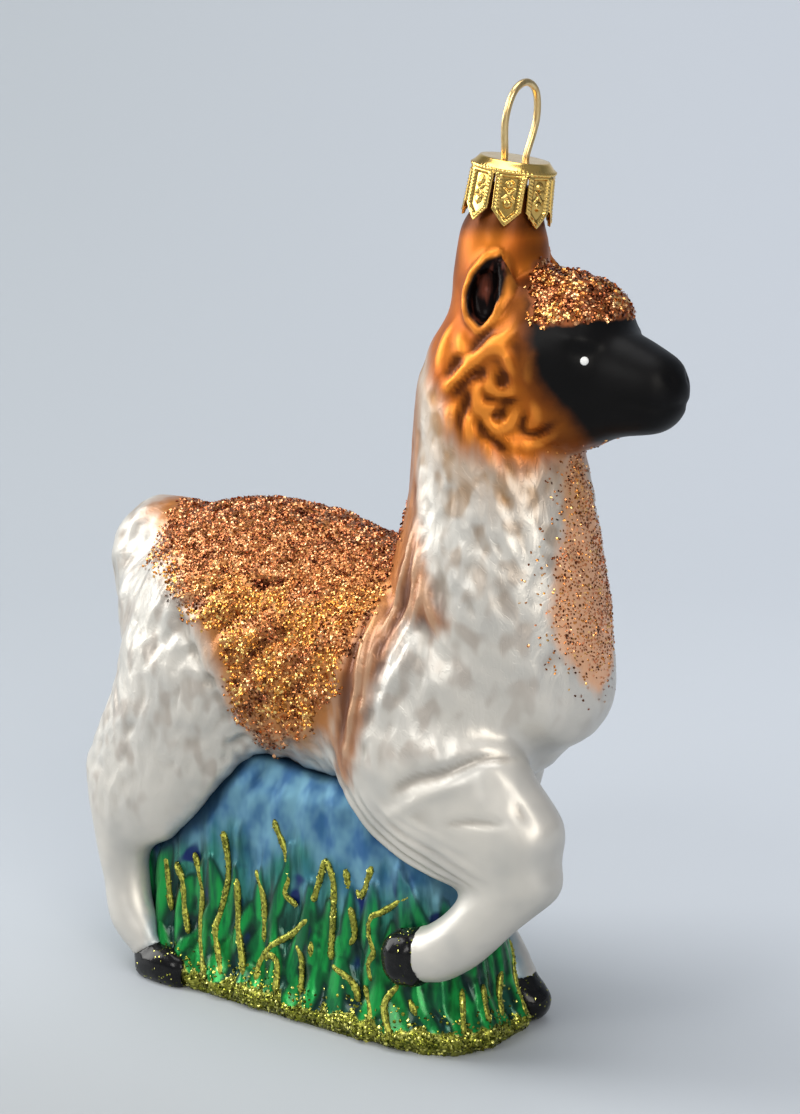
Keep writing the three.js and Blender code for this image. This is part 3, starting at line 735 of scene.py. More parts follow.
def paintSkin(net):
    tint = skinTints
    ragged = (net.noise(1.6, detail=3.0) - 0.5) * 3.2
    drip = (net.noise(1.5, stretch=(1, 1, 4.5)) - 0.5) * 5.0
    mottle = net.noise(7.0)
    # the coat's hollows carry painted shade and its crests carry painted highlight
    hollows, crests = net.attribute("hollow"), net.attribute("lit").fade(0.0, 0.9)
    locks = net.attribute("strand")
    onNeck = net.height().fade(50.0, 80.0)
    spots = net.noise(3.0, stretch=(1, 1, 1.5), detail=1.0).fade(0.50, 0.66) * locks

    def masked(name, stray, low, high):  # a paint's place, with a strayed edge
        return (net.attribute(name) + stray).fade(low, high)

    amber = masked("amber", drip * 0.45, -2.6, 1.6)
    lacquer = masked("lacquer", drip * 0.6, -1.2, 4.0)
    face = masked("face", ragged * 0.35, -1.6, 0.7)
    # painted shadow below the cap's tabs, with the spots of painted shade
    brownShade = net.maths("MAXIMUM", net.attribute("capNear").fade(2.6, 0.2), net.attribute("brownShade")) * 0.85
    apricot = net.layers(net.mix(hollows, *tint["apricot"]), (crests * 0.4, tint["apricotHighlight"]))
    saddle = net.layers(net.mix(hollows, *tint["saddle"]), (crests * 0.25, tint["saddleHighlight"]))
    honey = net.layers(net.mix(mottle.fade(0.3, 0.7), *tint["honey"]),
                       (crests * 0.8, tint["honeyHighlight"]), (hollows * 0.9, tint["honeyShade"]))
    inside = net.mix(net.noise(1.3, stretch=(1, 1, 4)).fade(0.52, 0.75), *tint["ear"])
    colour = net.layers(
        net.mix(mottle.fade(0.35, 0.75), *tint["pearl"]),
        (spots * (0.5 + 0.25 * onNeck), net.mix(onNeck, *tint["spots"])),
        # painted shade in the hollows of the coat
        (hollows * (0.55 + 0.3 * onNeck), net.mix(onNeck, *tint["hollowShade"])),
        # blue overspray with a painted reflection of the mound, and painted shade in the crease beside it
        (masked("overspray", ragged * 0.5, 2.8, 0.2) * 0.75, tint["sprayAndMoundReflection"]),
        (masked("overspray", ragged * 0.12, 0.75, 0.25), tint["moundLine"]),
        (masked("nape", drip * 0.55, -2.2, 0.9) * 0.9, apricot),
        (lacquer, saddle),
        (masked("bib", ragged * 0.5, -0.8, 1.2) * 0.85, tint["bib"]),
        # brown drift below the cheek, deeper in the hollows as painted shade
        (masked("amber", drip * 1.1, -9.5, 0.0) * (0.5 + 0.45 * hollows), tint["olive"]),
        (amber, honey),
        (masked("face", ragged * 0.35, -4.2, -0.4) * 0.8, tint["faceEdge"]),
        (face, tint["face"]),
        (masked("forelock", ragged * 0.3, -0.5, 0.1), tint["glue"]),
        # painted shade below the cap and beside the ear, and brown at the jaw
        (brownShade * (1.0 - face), tint["brownShade"]),
        (net.attribute("earHollow").fade(-0.35, 0.25), inside))
    metal = (0.42 + 0.2 * amber + 0.25 * lacquer) * (1.0 - face)
    rough = 0.36 + 0.10 * mottle + 0.03 * amber
    strands = net.node("ShaderNodeTexNoise", {"noise_dimensions": "1D"},
                       {"W": net.attribute("across"), "Scale": 1.6, "Detail": 1.0})
    raised = strands * locks * (1.0 - hollows) * 0.7 + net.noise(1.4, detail=1.0) * 0.25
    return gloss(net, {"Base Color": colour, "Metallic": metal, "Roughness": rough,
                       "Normal": bump(net, raised, 0.3, 0.2), "Coat Roughness": 0.2,
                       "Coat Weight": 0.25 * (1.0 - face) * (1.0 - 0.8 * amber),
                       "Specular IOR Level": 0.1})


skin.data.materials.append(material("painted glass", paintSkin))

# mm: the hooves are a little thinner than the legs and reach in under their skin
hoof = {"sunk": 0.03, "lap": 0.35}
hoofPaintField = np.maximum(bodyField + hoof["sunk"], -parting - hoof["lap"])


def paintHoof(net):
    wear = net.noise(1.2, detail=3.0)
    colour = net.mix(wear.fade(0.3, 0.8), (0.003, 0.003, 0.0035), (0.009, 0.009, 0.009))
    return gloss(net, {"Base Color": colour, "Roughness": 0.12 + 0.12 * wear, "Specular IOR Level": 0.22,
                       "Normal": bump(net, net.noise(0.8), 0.25, 0.12)})


hoofMaterial = material("black enamel", paintHoof)
hoofPoints, hoofQuads = shellOf(hoofPaintField, body["level"])
hooves = {}
owner = np.argmin([read(nodeFields[name], hoofPoints) for name in hoofNodes], axis=0)
for index, name in enumerate(hoofNodes):
    mine = (owner[hoofQuads] == index).all(1)
    used, faces = np.unique(hoofQuads[mine], return_inverse=True)
    hooves[name] = meshOf("painted_" + name, hoofPoints[used], faces.reshape(-1, 4))
    hooves[name].data.materials.append(hoofMaterial)
say("hooves")

mound = {
    "grow": 0.34,       # mm, closes the gap to the body
    "soft": 0.7,
    "leafDepth": 0.6,
    "lumps": 0.16,      # mm, between the leaves
    "rim": 3.5,         # height of the glitter band, mm
    "rimGlue": 0.12,    # mm, its thickness
    "roundness": 1.9,   # evens out the long sides and the ends
    "middle": -2.0,     # x of the point that the leaves stand round
    "girth": 150.0,     # mm round the wall
    "seed": 21,
}
# rows of moulded leaves round the mound: height of their roots, length, width, pitch, tone
leafRows = [
    {"root": 9.0, "length": 13.0, "width": 3.0, "pitch": 3.5, "tone": 0.45},
    {"root": 5.0, "length": 10.5, "width": 2.9, "pitch": 2.9, "tone": 0.7},
    {"root": 0.6, "length": 8.5, "width": 3.1, "pitch": 2.8, "tone": 1.0},
]
groundField = soften(moundField - mound["grow"], mound["soft"])
belowFloor = -(np.arange(gridShape[2]) + gridStart[2]) * step
floorField = np.broadcast_to(belowFloor[None, None, :], gridShape)
groundField = np.maximum(groundField, floorField).astype(np.float32)
groundPoints, groundQuads = shellOf(groundField, 0.0)
groundNormals = unit(slope(groundField, groundPoints))
gx, gy, gz = groundPoints.T
upright = 1 - fade(np.abs(groundNormals[:, 2]), 0.55, 0.9)
girth = mound["girth"]
bearing = np.arctan2(gy * mound["roundness"], gx - mound["middle"])
alongWall = bearing / (2 * np.pi) * girth
rng = np.random.default_rng(mound["seed"])
leaf, leafTone = np.zeros((2, len(groundPoints)))
for row in leafRows:
    count = int(girth / row["pitch"])
    for k in range(count):
        at = (k + rng.uniform(-0.3, 0.3)) / count * girth - girth / 2
        length = row["length"] * rng.uniform(0.75, 1.2)
        wide = row["width"] * rng.uniform(0.8, 1.15)
        lean, sway, phase = rng.normal(0, 0.14), rng.uniform(0.1, 0.5), rng.uniform(0, 6.3)
        tone = row["tone"] * rng.uniform(0.6, 1.1)
        u = (gz - row["root"] - rng.uniform(-0.8, 0.8)) / length
        v = (alongWall - at + girth / 2) % girth - girth / 2
        v = v - lean * length * u - sway * np.sin(u * 5 + phase)
        half = wide / 2 * np.sin(np.pi * np.clip(u, 0, 1) ** 0.8) ** 0.8
        ridge = np.clip(1 - (v / np.maximum(half, 1e-3)) ** 2, 0, 1) * ((u > 0) & (u < 1))
        leaf = np.where(ridge > 0.02, ridge, leaf)
        leafTone = np.where(ridge > 0.02, tone, leafTone)
groundEnds = np.vstack([groundQuads[:, [k, (k + 1) % 4]] for k in range(4)])
leaf = evened(leaf * upright, 2, groundEnds)
leafTone = evened(leafTone, 2, groundEnds)
groundRelief = (np.sqrt(leaf) - 0.5 * fade(-gz, -22, -14)) * mound["leafDepth"] * upright
groundRelief += mound["lumps"] * noise(groundPoints / 3.4, 34) * (1 - fade(leaf, 0, 0.2)) * upright
rimTop = mound["rim"] + 0.7 * noise(groundPoints / 2.2, 35) + 0.5 * noise(groundPoints / 0.9, 36)
rimTop -= 0.7 * fade(leaf, 0.2, 0.8)
rim = rimTop - gz
groundRelief += mound["rimGlue"] * fade(rim, -0.3, 0.5) * upright
groundShaped = groundPoints + groundNormals * groundRelief[:, None]
groundShaped[:, 2] = np.maximum(groundShaped[:, 2], 0)
groundShaped[gz < 0.25, 2] = 0
bodyNear = read(bodyField, groundPoints)
ground = meshOf("painted_grass_mound", groundShaped, groundQuads, {
    "leaf": leaf, "leafTone": leafTone, "rim": rim, "bodyNear": bodyNear})


moundTints = {
    "sky": ((0.032, 0.115, 0.26), (0.14, 0.31, 0.41)),
    "wash": ((0.006, 0.075, 0.065), (0.035, 0.24, 0.17)),
    "night": ((0.001, 0.010, 0.010), (0.004, 0.055, 0.030)),     # between the leaves
    "navy": (0.004, 0.018, 0.11),
    "leaf": ((0.006, 0.085, 0.055), (0.002, 0.125, 0.018)),      # upper rows, lowest row
    "leafMiddle": (0.008, 0.34, 0.06),
    "leafEdge": (0.0008, 0.018, 0.010),
    "bodyCreaseShade": (0.004, 0.022, 0.05),                            # painted shade where the body meets it
    "gold": ((0.04, 0.06, 0.006), (0.42, 0.42, 0.07)),           # under the rim's glitter
}


def paintGround(net):
    tint = moundTints
    streaks = net.noise(1.5, stretch=(1, 1, 6), detail=3.0)
    broad = net.noise(6.0, stretch=(1, 1, 1.6))
    height = net.height()
    leaf = net.attribute("leaf")
    band = net.attribute("rim").fade(-0.15, 0.25)
    grain = net.grains(3.0)
    clouds = net.noise(3.0, stretch=(1, 1, 1.5)).fade(0.3, 0.7)
    high = (height + (broad - 0.5) * 22.0 + (streaks - 0.5) * 8.0).fade(15.0, 24.0)
    night = (height + (streaks - 0.5) * 8.0).fade(18.0, 12.0)
    navy = net.noise(4.0, detail=1.0).fade(0.58, 0.70) * height.fade(7.0, 11.0) * height.fade(24.0, 18.0)
    green = net.layers(net.mix(net.attribute("leafTone"), *tint["leaf"]),
                       (leaf.fade(0.5, 0.9) * streaks.fade(0.35, 0.6) * 0.8, tint["leafMiddle"]),
                       (leaf.fade(0.75, 0.3) * 0.93, tint["leafEdge"]))
    strength = leaf.fade(0.1, 0.5) * (0.25 + 0.75 * (height + (broad - 0.5) * 10.0).fade(24.0, 15.0))
    # painted shade on the mound's top next to the body
    edge = (net.attribute("bodyNear") + (broad - 0.5) * 1.4).fade(1.5, 0.2) * height.fade(14.0, 20.0)
    colour = net.layers(
        net.mix(streaks.fade(0.3, 0.7), *tint["wash"]),
        (high, net.mix(clouds, *tint["sky"])),
        (night * 0.9, net.mix(streaks.fade(0.35, 0.65), *tint["night"])),
        (navy, tint["navy"]),
        (strength, green),
        (edge * 0.9, tint["bodyCreaseShade"]),
        (band, net.mix(grain, *tint["gold"])))
    rough = 0.22 + 0.14 * broad + 0.06 * band + 0.2 * high
    raised = streaks * 0.6 * (1.0 - band) + grain * band * 0.6
    return gloss(net, {"Base Color": colour, "Metallic": 0.45 + 0.3 * band, "Roughness": rough,
                       "Specular IOR Level": 0.25, "Normal": bump(net, raised, 0.4, 0.25),
                       "Coat Weight": 0.2 * (1.0 - band) * (1.0 - high), "Coat Roughness": 0.08})


ground.data.materials.append(material("painted grass", paintGround))
say("mound")


def paintGlitter(plain, golden):  # each three colours: dark, middle and bright flakes
    def paint(net):
        # each flake's random tone, raised on the coat's crests as painted highlight and lowered in its
        # hollows as painted shade
        shade = (net.attribute("shade") * 0.85 + net.attribute("lit") * 0.42 + 0.06).clip()

        def ramp(tones):
            lower = net.mix(shade.fade(0.0, 0.5), tones[0], tones[1])
            return net.mix(shade.fade(0.55, 0.95), lower, tones[2])

        colour = net.mix(net.attribute("golden"), ramp(plain), ramp(golden))
        return gloss(net, {"Base Color": colour, "Metallic": 0.95, "Roughness": 0.16 + 0.10 * shade})
    return paint


copper = material("copper glitter", paintGlitter(
    [(0.085, 0.016, 0.006), (0.52, 0.17, 0.065), (1.0, 0.54, 0.26)],
    [(0.13, 0.030, 0.006), (0.72, 0.28, 0.05), (1.0, 0.68, 0.22)]))
limeGold = material("lime gold glitter", paintGlitter(
    [(0.03, 0.042, 0.003), (0.26, 0.275, 0.034), (0.95, 0.90, 0.25)],
    [(0.16, 0.07, 0.01), (0.70, 0.46, 0.10), (1.0, 0.85, 0.40)]))


def startTree(name, sockets):  # an empty tree, and the identifiers of its inputs by their names
    tree = bpy.data.node_groups.new(name, "GeometryNodeTree")
    inputs = {}
    for label, kind in [("Geometry", "Geometry"), *sockets, ("Material", "Material")]:
        made = tree.interface.new_socket(name=label, in_out="INPUT", socket_type="NodeSocket" + kind)
        inputs[label] = made.identifier
    tree.interface.new_socket(name="Geometry", in_out="OUTPUT", socket_type="NodeSocketGeometry")
    return tree, inputs


def flakeTree():  # scatters low six-sided flakes over faces, thicker where "cover" is high
    tree, inputs = startTree("glitter flakes", [
        ("Flake", "Float"), ("Spacing", "Float"), ("Tilt", "Float"), ("Pile", "Float"), ("Seed", "Int")])
    net = Net(tree)
    given = net.node("NodeGroupInput")
    cover = net.node("GeometryNodeInputNamedAttribute", {"data_type": "FLOAT"}, {"Name": "cover"})
    spacing, seed, tilt = given.also("Spacing"), given.also("Seed"), given.also("Tilt")
    density = 0.9 / (spacing * spacing)
    spots = net.node("GeometryNodeDistributePointsOnFaces", {"distribute_method": "POISSON"},
                     {"Mesh": given, "Distance Min": spacing, "Density Max": density,
                      "Density Factor": cover, "Seed": seed})
    lift = net.node("FunctionNodeRandomValue", {"data_type": "FLOAT"},
                    {"Max": 1.0, "Seed": seed + 1}, out=1)
    raised = net.node("ShaderNodeVectorMath", {"operation": "SCALE"},
                      {0: spots.also("Normal"), "Scale": lift * given.also("Pile")})
    piled = net.node("GeometryNodeSetPosition", None, {"Geometry": spots, "Offset": raised})
    flake = net.node("GeometryNodeMeshCone", {"fill_type": "NGON"},
                     {"Vertices": 6, "Radius Top": 0.0, "Radius Bottom": given.also("Flake") * 0.5,
                      "Depth": given.also("Flake") * 0.12})
    lean = net.node("FunctionNodeRandomValue", {"data_type": "FLOAT_VECTOR"},
                    {0: (-1.0, -1.0, -3.1), 1: (1.0, 1.0, 3.1), "Seed": seed + 2})
    parts = net.node("ShaderNodeSeparateXYZ", None, {"Vector": lean})
    angles = net.node("ShaderNodeCombineXYZ", None, {
        "X": parts * tilt, "Y": parts.also("Y") * tilt, "Z": parts.also("Z")})
    turn = net.node("FunctionNodeRotateRotation", {"rotation_space": "LOCAL"}, {
        "Rotation": spots.also("Rotation"),
        "Rotate By": net.node("FunctionNodeEulerToRotation", None, {"Euler": angles})})
    size = net.node("FunctionNodeRandomValue", {"data_type": "FLOAT"},
                    {2: 0.75, 3: 1.2, "Seed": seed + 3}, out=1)
    flakes = net.node("GeometryNodeInstanceOnPoints", None, {
        "Points": piled, "Instance": flake, "Rotation": turn, "Scale": size})
    shade = net.node("FunctionNodeRandomValue", {"data_type": "FLOAT"}, {"Seed": seed + 4}, out=1)
    shaded = net.node("GeometryNodeStoreNamedAttribute", {"data_type": "FLOAT", "domain": "INSTANCE"},
                      {"Geometry": flakes, "Name": "shade", "Value": shade})
    real = net.node("GeometryNodeRealizeInstances", None, {"Geometry": shaded})
    done = net.node("GeometryNodeSetMaterial", None, {"Geometry": real, "Material": given.also("Material")})
    net.node("NodeGroupOutput", None, {0: done})
    return tree, inputs


flakes, flakeInputs = flakeTree()


def grown(base, tree, inputs, values, name):  # the tree's result as a plain mesh object
    modifier = base.modifiers.new("made", "NODES")
    modifier.node_group = tree
    for key, value in values.items():
        modifier[inputs[key]] = value
    depsgraph = bpy.context.evaluated_depsgraph_get()
    depsgraph.update()
    mesh = bpy.data.meshes.new_from_object(base.evaluated_get(depsgraph))
    base.modifiers.remove(modifier)
    mesh.name = name
    bpy.data.objects.remove(base)
    return linked(name, mesh)


flakeCorners = 7        # points of one flake: six round its rim and its tip
bakeMap = {
    "patch": 0.003,     # width of a flake's patch on the map
    "axis": 48.0,       # mm, height of the line that the map is wrapped round
    "start": -45.0,     # mm, x where the map begins
    "length": 100.0,
}


def mapFlakes(piece):  # each flake is a small patch at its place on an unwrap round the body
    mesh = piece.data
    places = np.empty(len(mesh.vertices) * 3, np.float32)
    mesh.vertices.foreach_get("co", places)
    places = places.reshape(-1, 3) / mm
    roots = np.repeat(places.reshape(-1, flakeCorners, 3).mean(1), flakeCorners, axis=0)
    turn = np.arctan2(roots[:, 1], roots[:, 2] - bakeMap["axis"]) / (2 * np.pi) + 0.5
    run = (roots[:, 0] - bakeMap["start"]) / bakeMap["length"]
    local = unit(places - roots)[:, :2] * bakeMap["patch"] * 0.5
    unwrap = np.clip(np.stack([turn, run], 1) * 0.98 + 0.01 + local, 0, 1)
    loops = np.empty(len(mesh.loops), np.int32)
    mesh.loops.foreach_get("vertex_index", loops)
    layer = mesh.uv_layers.new(name="OFBake")
    layer.data.foreach_set("uv", unwrap[loops].astype(np.float32).ravel())


def glitter(name, points, faces, cover, options, coat, golden=None, lit=None):
    used, kept = np.unique(faces[cover[faces].max(1) > 0], return_inverse=True)
    none = np.zeros(len(points))
    base = meshOf(name + "_base", points[used], kept.reshape(-1, faces.shape[1]), {
        "cover": cover[used], "golden": (none if golden is None else golden)[used],
        "lit": (none if lit is None else lit)[used]})
    made = grown(base, flakes, flakeInputs, {
        "Flake": options["flake"] * mm, "Spacing": options["spacing"] * mm, "Tilt": options["tilt"],
        "Pile": options["pile"] * mm, "Seed": options["seed"], "Material": coat}, name)
    mapFlakes(made)
    print(name, len(made.data.vertices) // flakeCorners, "flakes")
    return made


# size, spacing and pile in mm; tilt in radians
saddleGlitter = {"flake": 0.46, "spacing": 0.27, "tilt": 0.8, "pile": 0.22, "seed": 3}
forelockGlitter = {"flake": 0.52, "spacing": 0.25, "tilt": 0.7, "pile": 0.3, "seed": 5}
bibGlitter = {"flake": 0.38, "spacing": 0.28, "tilt": 0.8, "pile": 0.05, "seed": 7}
rimGlitter = {"flake": 0.44, "spacing": 0.27, "tilt": 0.7, "pile": 0.12, "seed": 9}
hoofGlitter = {"flake": 0.30, "spacing": 0.42, "tilt": 0.4, "pile": 0.02, "seed": 13}

_, sy, sz = shaped.T
patchy = noise(points / 2.6, 41) * 0.5 + 0.5
fringe = fade(-sz, -46, -38) * fade(x, -12, -8)
croup = fade(-x, 17, 22) * fade(-z, -60, -57)      # where the saddle thins out towards the tail
saddleCover = fade(saddle + rag * 1.3, -0.9, 0.8) * (1 - 0.55 * fringe * fade(patchy, 0.3, 0.7))
saddleCover *= 1 - 0.75 * croup * fade(patchy + 0.4 * fade(-z, -58, -55), 0.3, 0.6)
saddleCover = np.where(saddle > -2, saddleCover, 0)
forelockCover = np.where((forelock > -1) & ~painted, fade(forelock + rag * 0.5, -0.4, 0.2), 0)
bibCover = 0.9 * fade(bib + rag * 1.4, -0.6, 1.0) * (0.5 + 0.5 * patchy) + 0.08 * fade(bib + rag, -3.4, -0.5)
bibCover = np.where(bib > -3.6, bibCover * fade(sz, 48, 54) + 0.10 * fade(bib, -3.6, -1), 0)
litNear = np.clip(lit, -1, 1)
streaky = noise(points / [3.0, 3.0, 2.4] + 7, 44) * 0.5 + 0.5
# gold across the saddle's middle band, and more of it on the crests as painted highlight
goldenBandAndHighlight = fade(-sz, -62, -56) * fade(sz, 37, 43) * fade(streaky + 0.5 * litNear, 0.05, 0.7)
goldenBandAndHighlight = np.where(x < 14, goldenBandAndHighlight, 0.75 * fade(noise(points / 1.2, 45), -0.5, 0.7))
pieces = []
for name, keep, cover, options in (
        ("saddle_glitter_right", sy <= 0.2, saddleCover, saddleGlitter),
        ("saddle_glitter_left", sy >= -0.2, saddleCover, {**saddleGlitter, "seed": 4}),
        ("forelock_glitter", sy < 99, forelockCover, forelockGlitter),
        ("bib_glitter", sy < 99, bibCover, bibGlitter)):
    made = glitter(name, shaped, quads, np.where(keep, cover, 0), options, copper, goldenBandAndHighlight, litNear)
    pieces.append((made, "copper_glitter"))
nearLeg = fade(read(parting, hoofPoints), -1.5, -0.4) * (0.5 + 0.5 * noise(hoofPoints / 1.5, 61))
speckCover = 0.05 + 0.5 * nearLeg + 0.25 * fade(-hoofPoints[:, 2], -2.2, -0.8)
for index, name in enumerate(hoofNodes):
    mine = (owner[hoofQuads] == index).all(1)
    specks = glitter(name + "_specks", hoofPoints, hoofQuads[mine], speckCover,
                     {**hoofGlitter, "seed": 13 + index}, limeGold)
    pieces.append((specks, "gold_green_glitter"))
tufts = noise(groundShaped / [1.3, 1.3, 5.0], 47) * 0.5 + 0.5
rimCover = 0.34 * fade(rim + 1.6 * tufts, -2.6, 0.4) + 0.66 * fade(rim, -0.2, 0.25)
rimCover *= upright * fade(groundShaped[:, 2], 0.2, 0.45)
pieces.append((glitter("rim_glitter", groundShaped, groundQuads, rimCover, rimGlitter, limeGold),
               "gold_green_glitter"))
say("glitter")

# blades of grass drawn in glue and glitter: places (x, z) in mm on the right flank of the mound
bladeLines = [
    [(-25, 17), (-24.2, 12), (-23.4, 9.6)],
    [(-22.8, 16.6), (-21.2, 14.4), (-20.6, 11), (-19.4, 7.4)],
    [(-19.6, 18.6), (-17.6, 14), (-17.4, 9), (-16, 4.4), (-14.6, 3)],
    [(-14.4, 22.6), (-13.2, 17.2), (-14.1, 11.6), (-14.4, 8.6), (-12.4, 3.4)],
    [(-11.2, 16.8), (-10.4, 10.6), (-8.4, 4.4)],
    [(-8.4, 18.4), (-6.6, 14.6), (-6.0, 9.2)],
    [(-5.3, 26), (-3.3, 21.6), (-2.7, 18.6), (-3.1, 16.2), (-1.0, 15.0)],
    [(1.2, 13.8), (-1.2, 11.4), (-4.2, 9.2), (-6.3, 6.4), (-6.4, 4)],
    [(1.8, 16.2), (2.6, 19.6), (3.4, 22), (4.8, 20.6), (5.4, 18), (5.2, 12.4), (5.4, 9.2)],
    [(-0.6, 10), (0.8, 8.2), (1.4, 4)],
    [(2.1, 11), (2.4, 9)],
    [(-5.4, 7), (-4.4, 7.9), (-3.2, 7.4), (-2.8, 5.6), (-2.4, 3.4)],
    [(11, 22.8), (10.4, 19.8), (9.4, 18.6), (8.6, 19)],
    [(6.8, 21.6), (7.6, 19)],
    [(7.8, 17), (8.7, 13.4), (8.2, 11.8)],
    [(16.6, 19.8), (13, 17.2), (11.6, 16.3), (11.2, 14), (12.2, 11.8), (11.6, 10), (12.3, 8)],
    [(5.8, 8.6), (8.6, 7.8), (10, 6.4), (10.6, 5)],
    [(11.2, 7.2), (12.8, 4.4), (13.2, 2.5)],
    [(16.2, 8.2), (14.8, 5.6), (16.8, 1.8)],
    [(18.2, 6.8), (19.4, 5)],
]
# and (y, z) on its front
frontLines = [
    [(-8.2, 8), (-9, 5.4), (-10.4, 3)],
    [(-5.4, 8), (-6.6, 3.6)],
    [(-1, 8.4), (-3.4, 3.2)],
    [(3.2, 11), (2, 7.2), (0.6, 2.4)],
    [(7, 9), (6.6, 6), (8.6, 2)],
]
strand = {
    "radius": 0.47,     # mm
    "seat": 0.18,       # how deep the bead sits in the paint
    "flakeRoom": 0.2,   # how much lower it lies for its flakes
    "step": 0.5,
    "fromSide": 19,     # mm from the middle, where lines start before they are laid
    "fromEnd": 46,
    "flake": 0.44, "spacing": 0.25, "tilt": 1.0, "pile": 0.24, "seed": 17,
}


def laid(path, inward):  # a line dropped on to the mound from outside
    for _ in range(40):
        path = path + np.array(inward) * np.clip(read(groundField, path) * 0.8, 0, 1.5)[:, None]
    return settle(groundField, path, 0.0, 2)


beadPaths = []
aside, ahead = strand["fromSide"], strand["fromEnd"]
for line in bladeLines:  # on both flanks, closer together on the left one
    a, b = smoothPath(line, 10).T
    beadPaths.append(laid(np.stack([a, 0 * a - aside, b], 1), (0, 1, 0)))
    beadPaths.append(laid(np.stack([a * 0.94 - 1.5, 0 * a + aside, b], 1), (0, -1, 0)))
for line in frontLines:  # on the front and, turned round, at the back
    a, b = smoothPath(line, 10).T
    beadPaths.append(laid(np.stack([0 * a + ahead, a, b], 1), (-1, 0, 0)))
    beadPaths.append(laid(np.stack([0 * a - ahead, -a, b], 1), (1, 0, 0)))


def beadSkin(path, sides=8):  # a round bead of glue along a path, closed at its ends
    span = np.r_[0, np.cumsum(np.linalg.norm(np.diff(path, axis=0), axis=1))]
    at = np.linspace(0, span[-1], max(4, int(span[-1] / strand["step"])))
    path = np.stack([np.interp(at, span, part) for part in path.T], 1)
    out = unit(slope(groundField, path))
    across = unit(np.cross(unit(np.gradient(path, axis=0)), out))
    path = path + out * (strand["radius"] - strand["seat"] - strand["flakeRoom"])
    ends = np.sqrt(np.clip(np.minimum(at + 0.12, at[-1] - at + 0.12) / 0.7, 0, 1))
    wide = strand["radius"] * ends * (1 + 0.18 * noise(path / 1.1, 51))
    points, quads, grid = ringsRound(path, wide[:, None, None], across, out, sides, flat=0.8)
    first, last = len(points), len(points) + 1
    caps = [(first, b, a) for a, b in zip(grid[0], np.roll(grid[0], -1))]
    caps += [(last, a, b) for a, b in zip(grid[-1], np.roll(grid[-1], -1))]
    return np.vstack([points, path[:1], path[-1:]]), quads, np.array(caps)


beadPoints, beadQuads, beadCaps = [], [], []
for path in beadPaths:
    start = sum(len(p) for p in beadPoints)
    ringPoints, ringQuads, ringCaps = beadSkin(path)
    beadPoints.append(ringPoints)
    beadQuads += (ringQuads + start).tolist()
    beadCaps += (ringCaps + start).tolist()
allBeads = np.vstack(beadPoints)
grassLines = plainMesh("grass_lines", allBeads * mm, beadQuads + beadCaps)


def paintGlue(net):
    grain = net.grains(3.2)
    colour = net.mix(grain, (0.085, 0.095, 0.008), (0.50, 0.50, 0.075))
    return gloss(net, {"Base Color": colour, "Metallic": 0.65, "Roughness": 0.42,
                       "Normal": bump(net, grain, 0.6, 0.2)})


grassLines.data.materials.append(material("glitter glue", paintGlue))
lineGlitter = glitter("grass_line_glitter", allBeads, np.array(beadQuads), np.ones(len(allBeads)), strand,
                      limeGold)
pieces += [(grassLines, "gold_green_glitter"), (lineGlitter, "gold_green_glitter")]
say("grass lines")

cap = {
    "foot": capFoot, "lean": 0.17, "height": 7.7, "topRadius": 4.3, "shoulderRadius": 5.15,
    "shoulderDrop": 1.0, "tipRadius": 5.6, "sheet": 0.4, "tabs": 8, "firstGap": -0.618, "band": 1.4,
    "gapAtBand": 0.3, "gapAtPoint": 0.62, "point": 1.95,
    "across": 30, "down": 56,       # faces of one tab
    "bead": 0.42,                   # pitch of the beaded border, mm
}
shoulder = cap["height"] - cap["shoulderDrop"]
capPlace = Matrix.Translation(Vector(cap["foot"]) * mm) @ Matrix.Rotation(cap["lean"], 4, "Y")


def capRadius(height):  # the cap's outside, from the tips up to the top's edge
    return np.interp(height, [0, shoulder, cap["height"]],
                     [cap["tipRadius"], cap["shoulderRadius"], cap["topRadius"]])


def boss(s, h, radius, high, dimple):  # a stamped button, h from its middle
    away = np.hypot(s, h) / radius
    return high * np.sqrt(np.clip(1 - away ** 2, 0, 1)) - dimple * np.exp(-(away / 0.4) ** 2)


def tabRelief(s, h, half, bottom):  # stamped pattern: s mm across, h mm high on the tab
    edge = np.minimum(half - np.abs(s), (h - bottom) * 0.85)
    onTab = fade(h, -0.5, 0.2) * (1 - fade(h, shoulder - 0.9, shoulder - 0.5))
    lip = np.exp(-((edge - 0.14) / 0.12) ** 2) * 0.10
    beads = 0.35 + 0.65 * np.abs(np.sin(np.pi * (h + 0.5 * s) / cap["bead"]))
    beading = np.exp(-((edge - 0.5) / 0.2) ** 2) * 0.24 * beads
    panel = -0.16 * fade(edge, 0.68, 0.85)
    bosses = boss(s, h - 5.05, 0.52, 0.36, 0.14) + boss(s, h - 2.75, 0.56, 0.38, 0.1)
    scroll = 0.28 * np.exp(-((np.abs(s) - np.abs(h - 3.9) * 0.9) / 0.15) ** 2) * (np.abs(h - 3.9) < 0.62)
    studs = 0.16 * np.exp(-(np.hypot(np.abs(s) - 0.62, h - 3.2) / 0.16) ** 2)
    notches = 0.3 + 0.7 * np.abs(np.cos(np.pi * s / 0.5))
    crown = 0.2 * np.exp(-((h - shoulder + 0.1) / 0.22) ** 2) * notches
    crown += 0.12 * np.exp(-((h - shoulder + 0.62) / 0.14) ** 2)
    return ((lip + beading + panel) * onTab + (bosses + scroll + studs) * fade(edge, 0.5, 0.75) * onTab
            + crown)


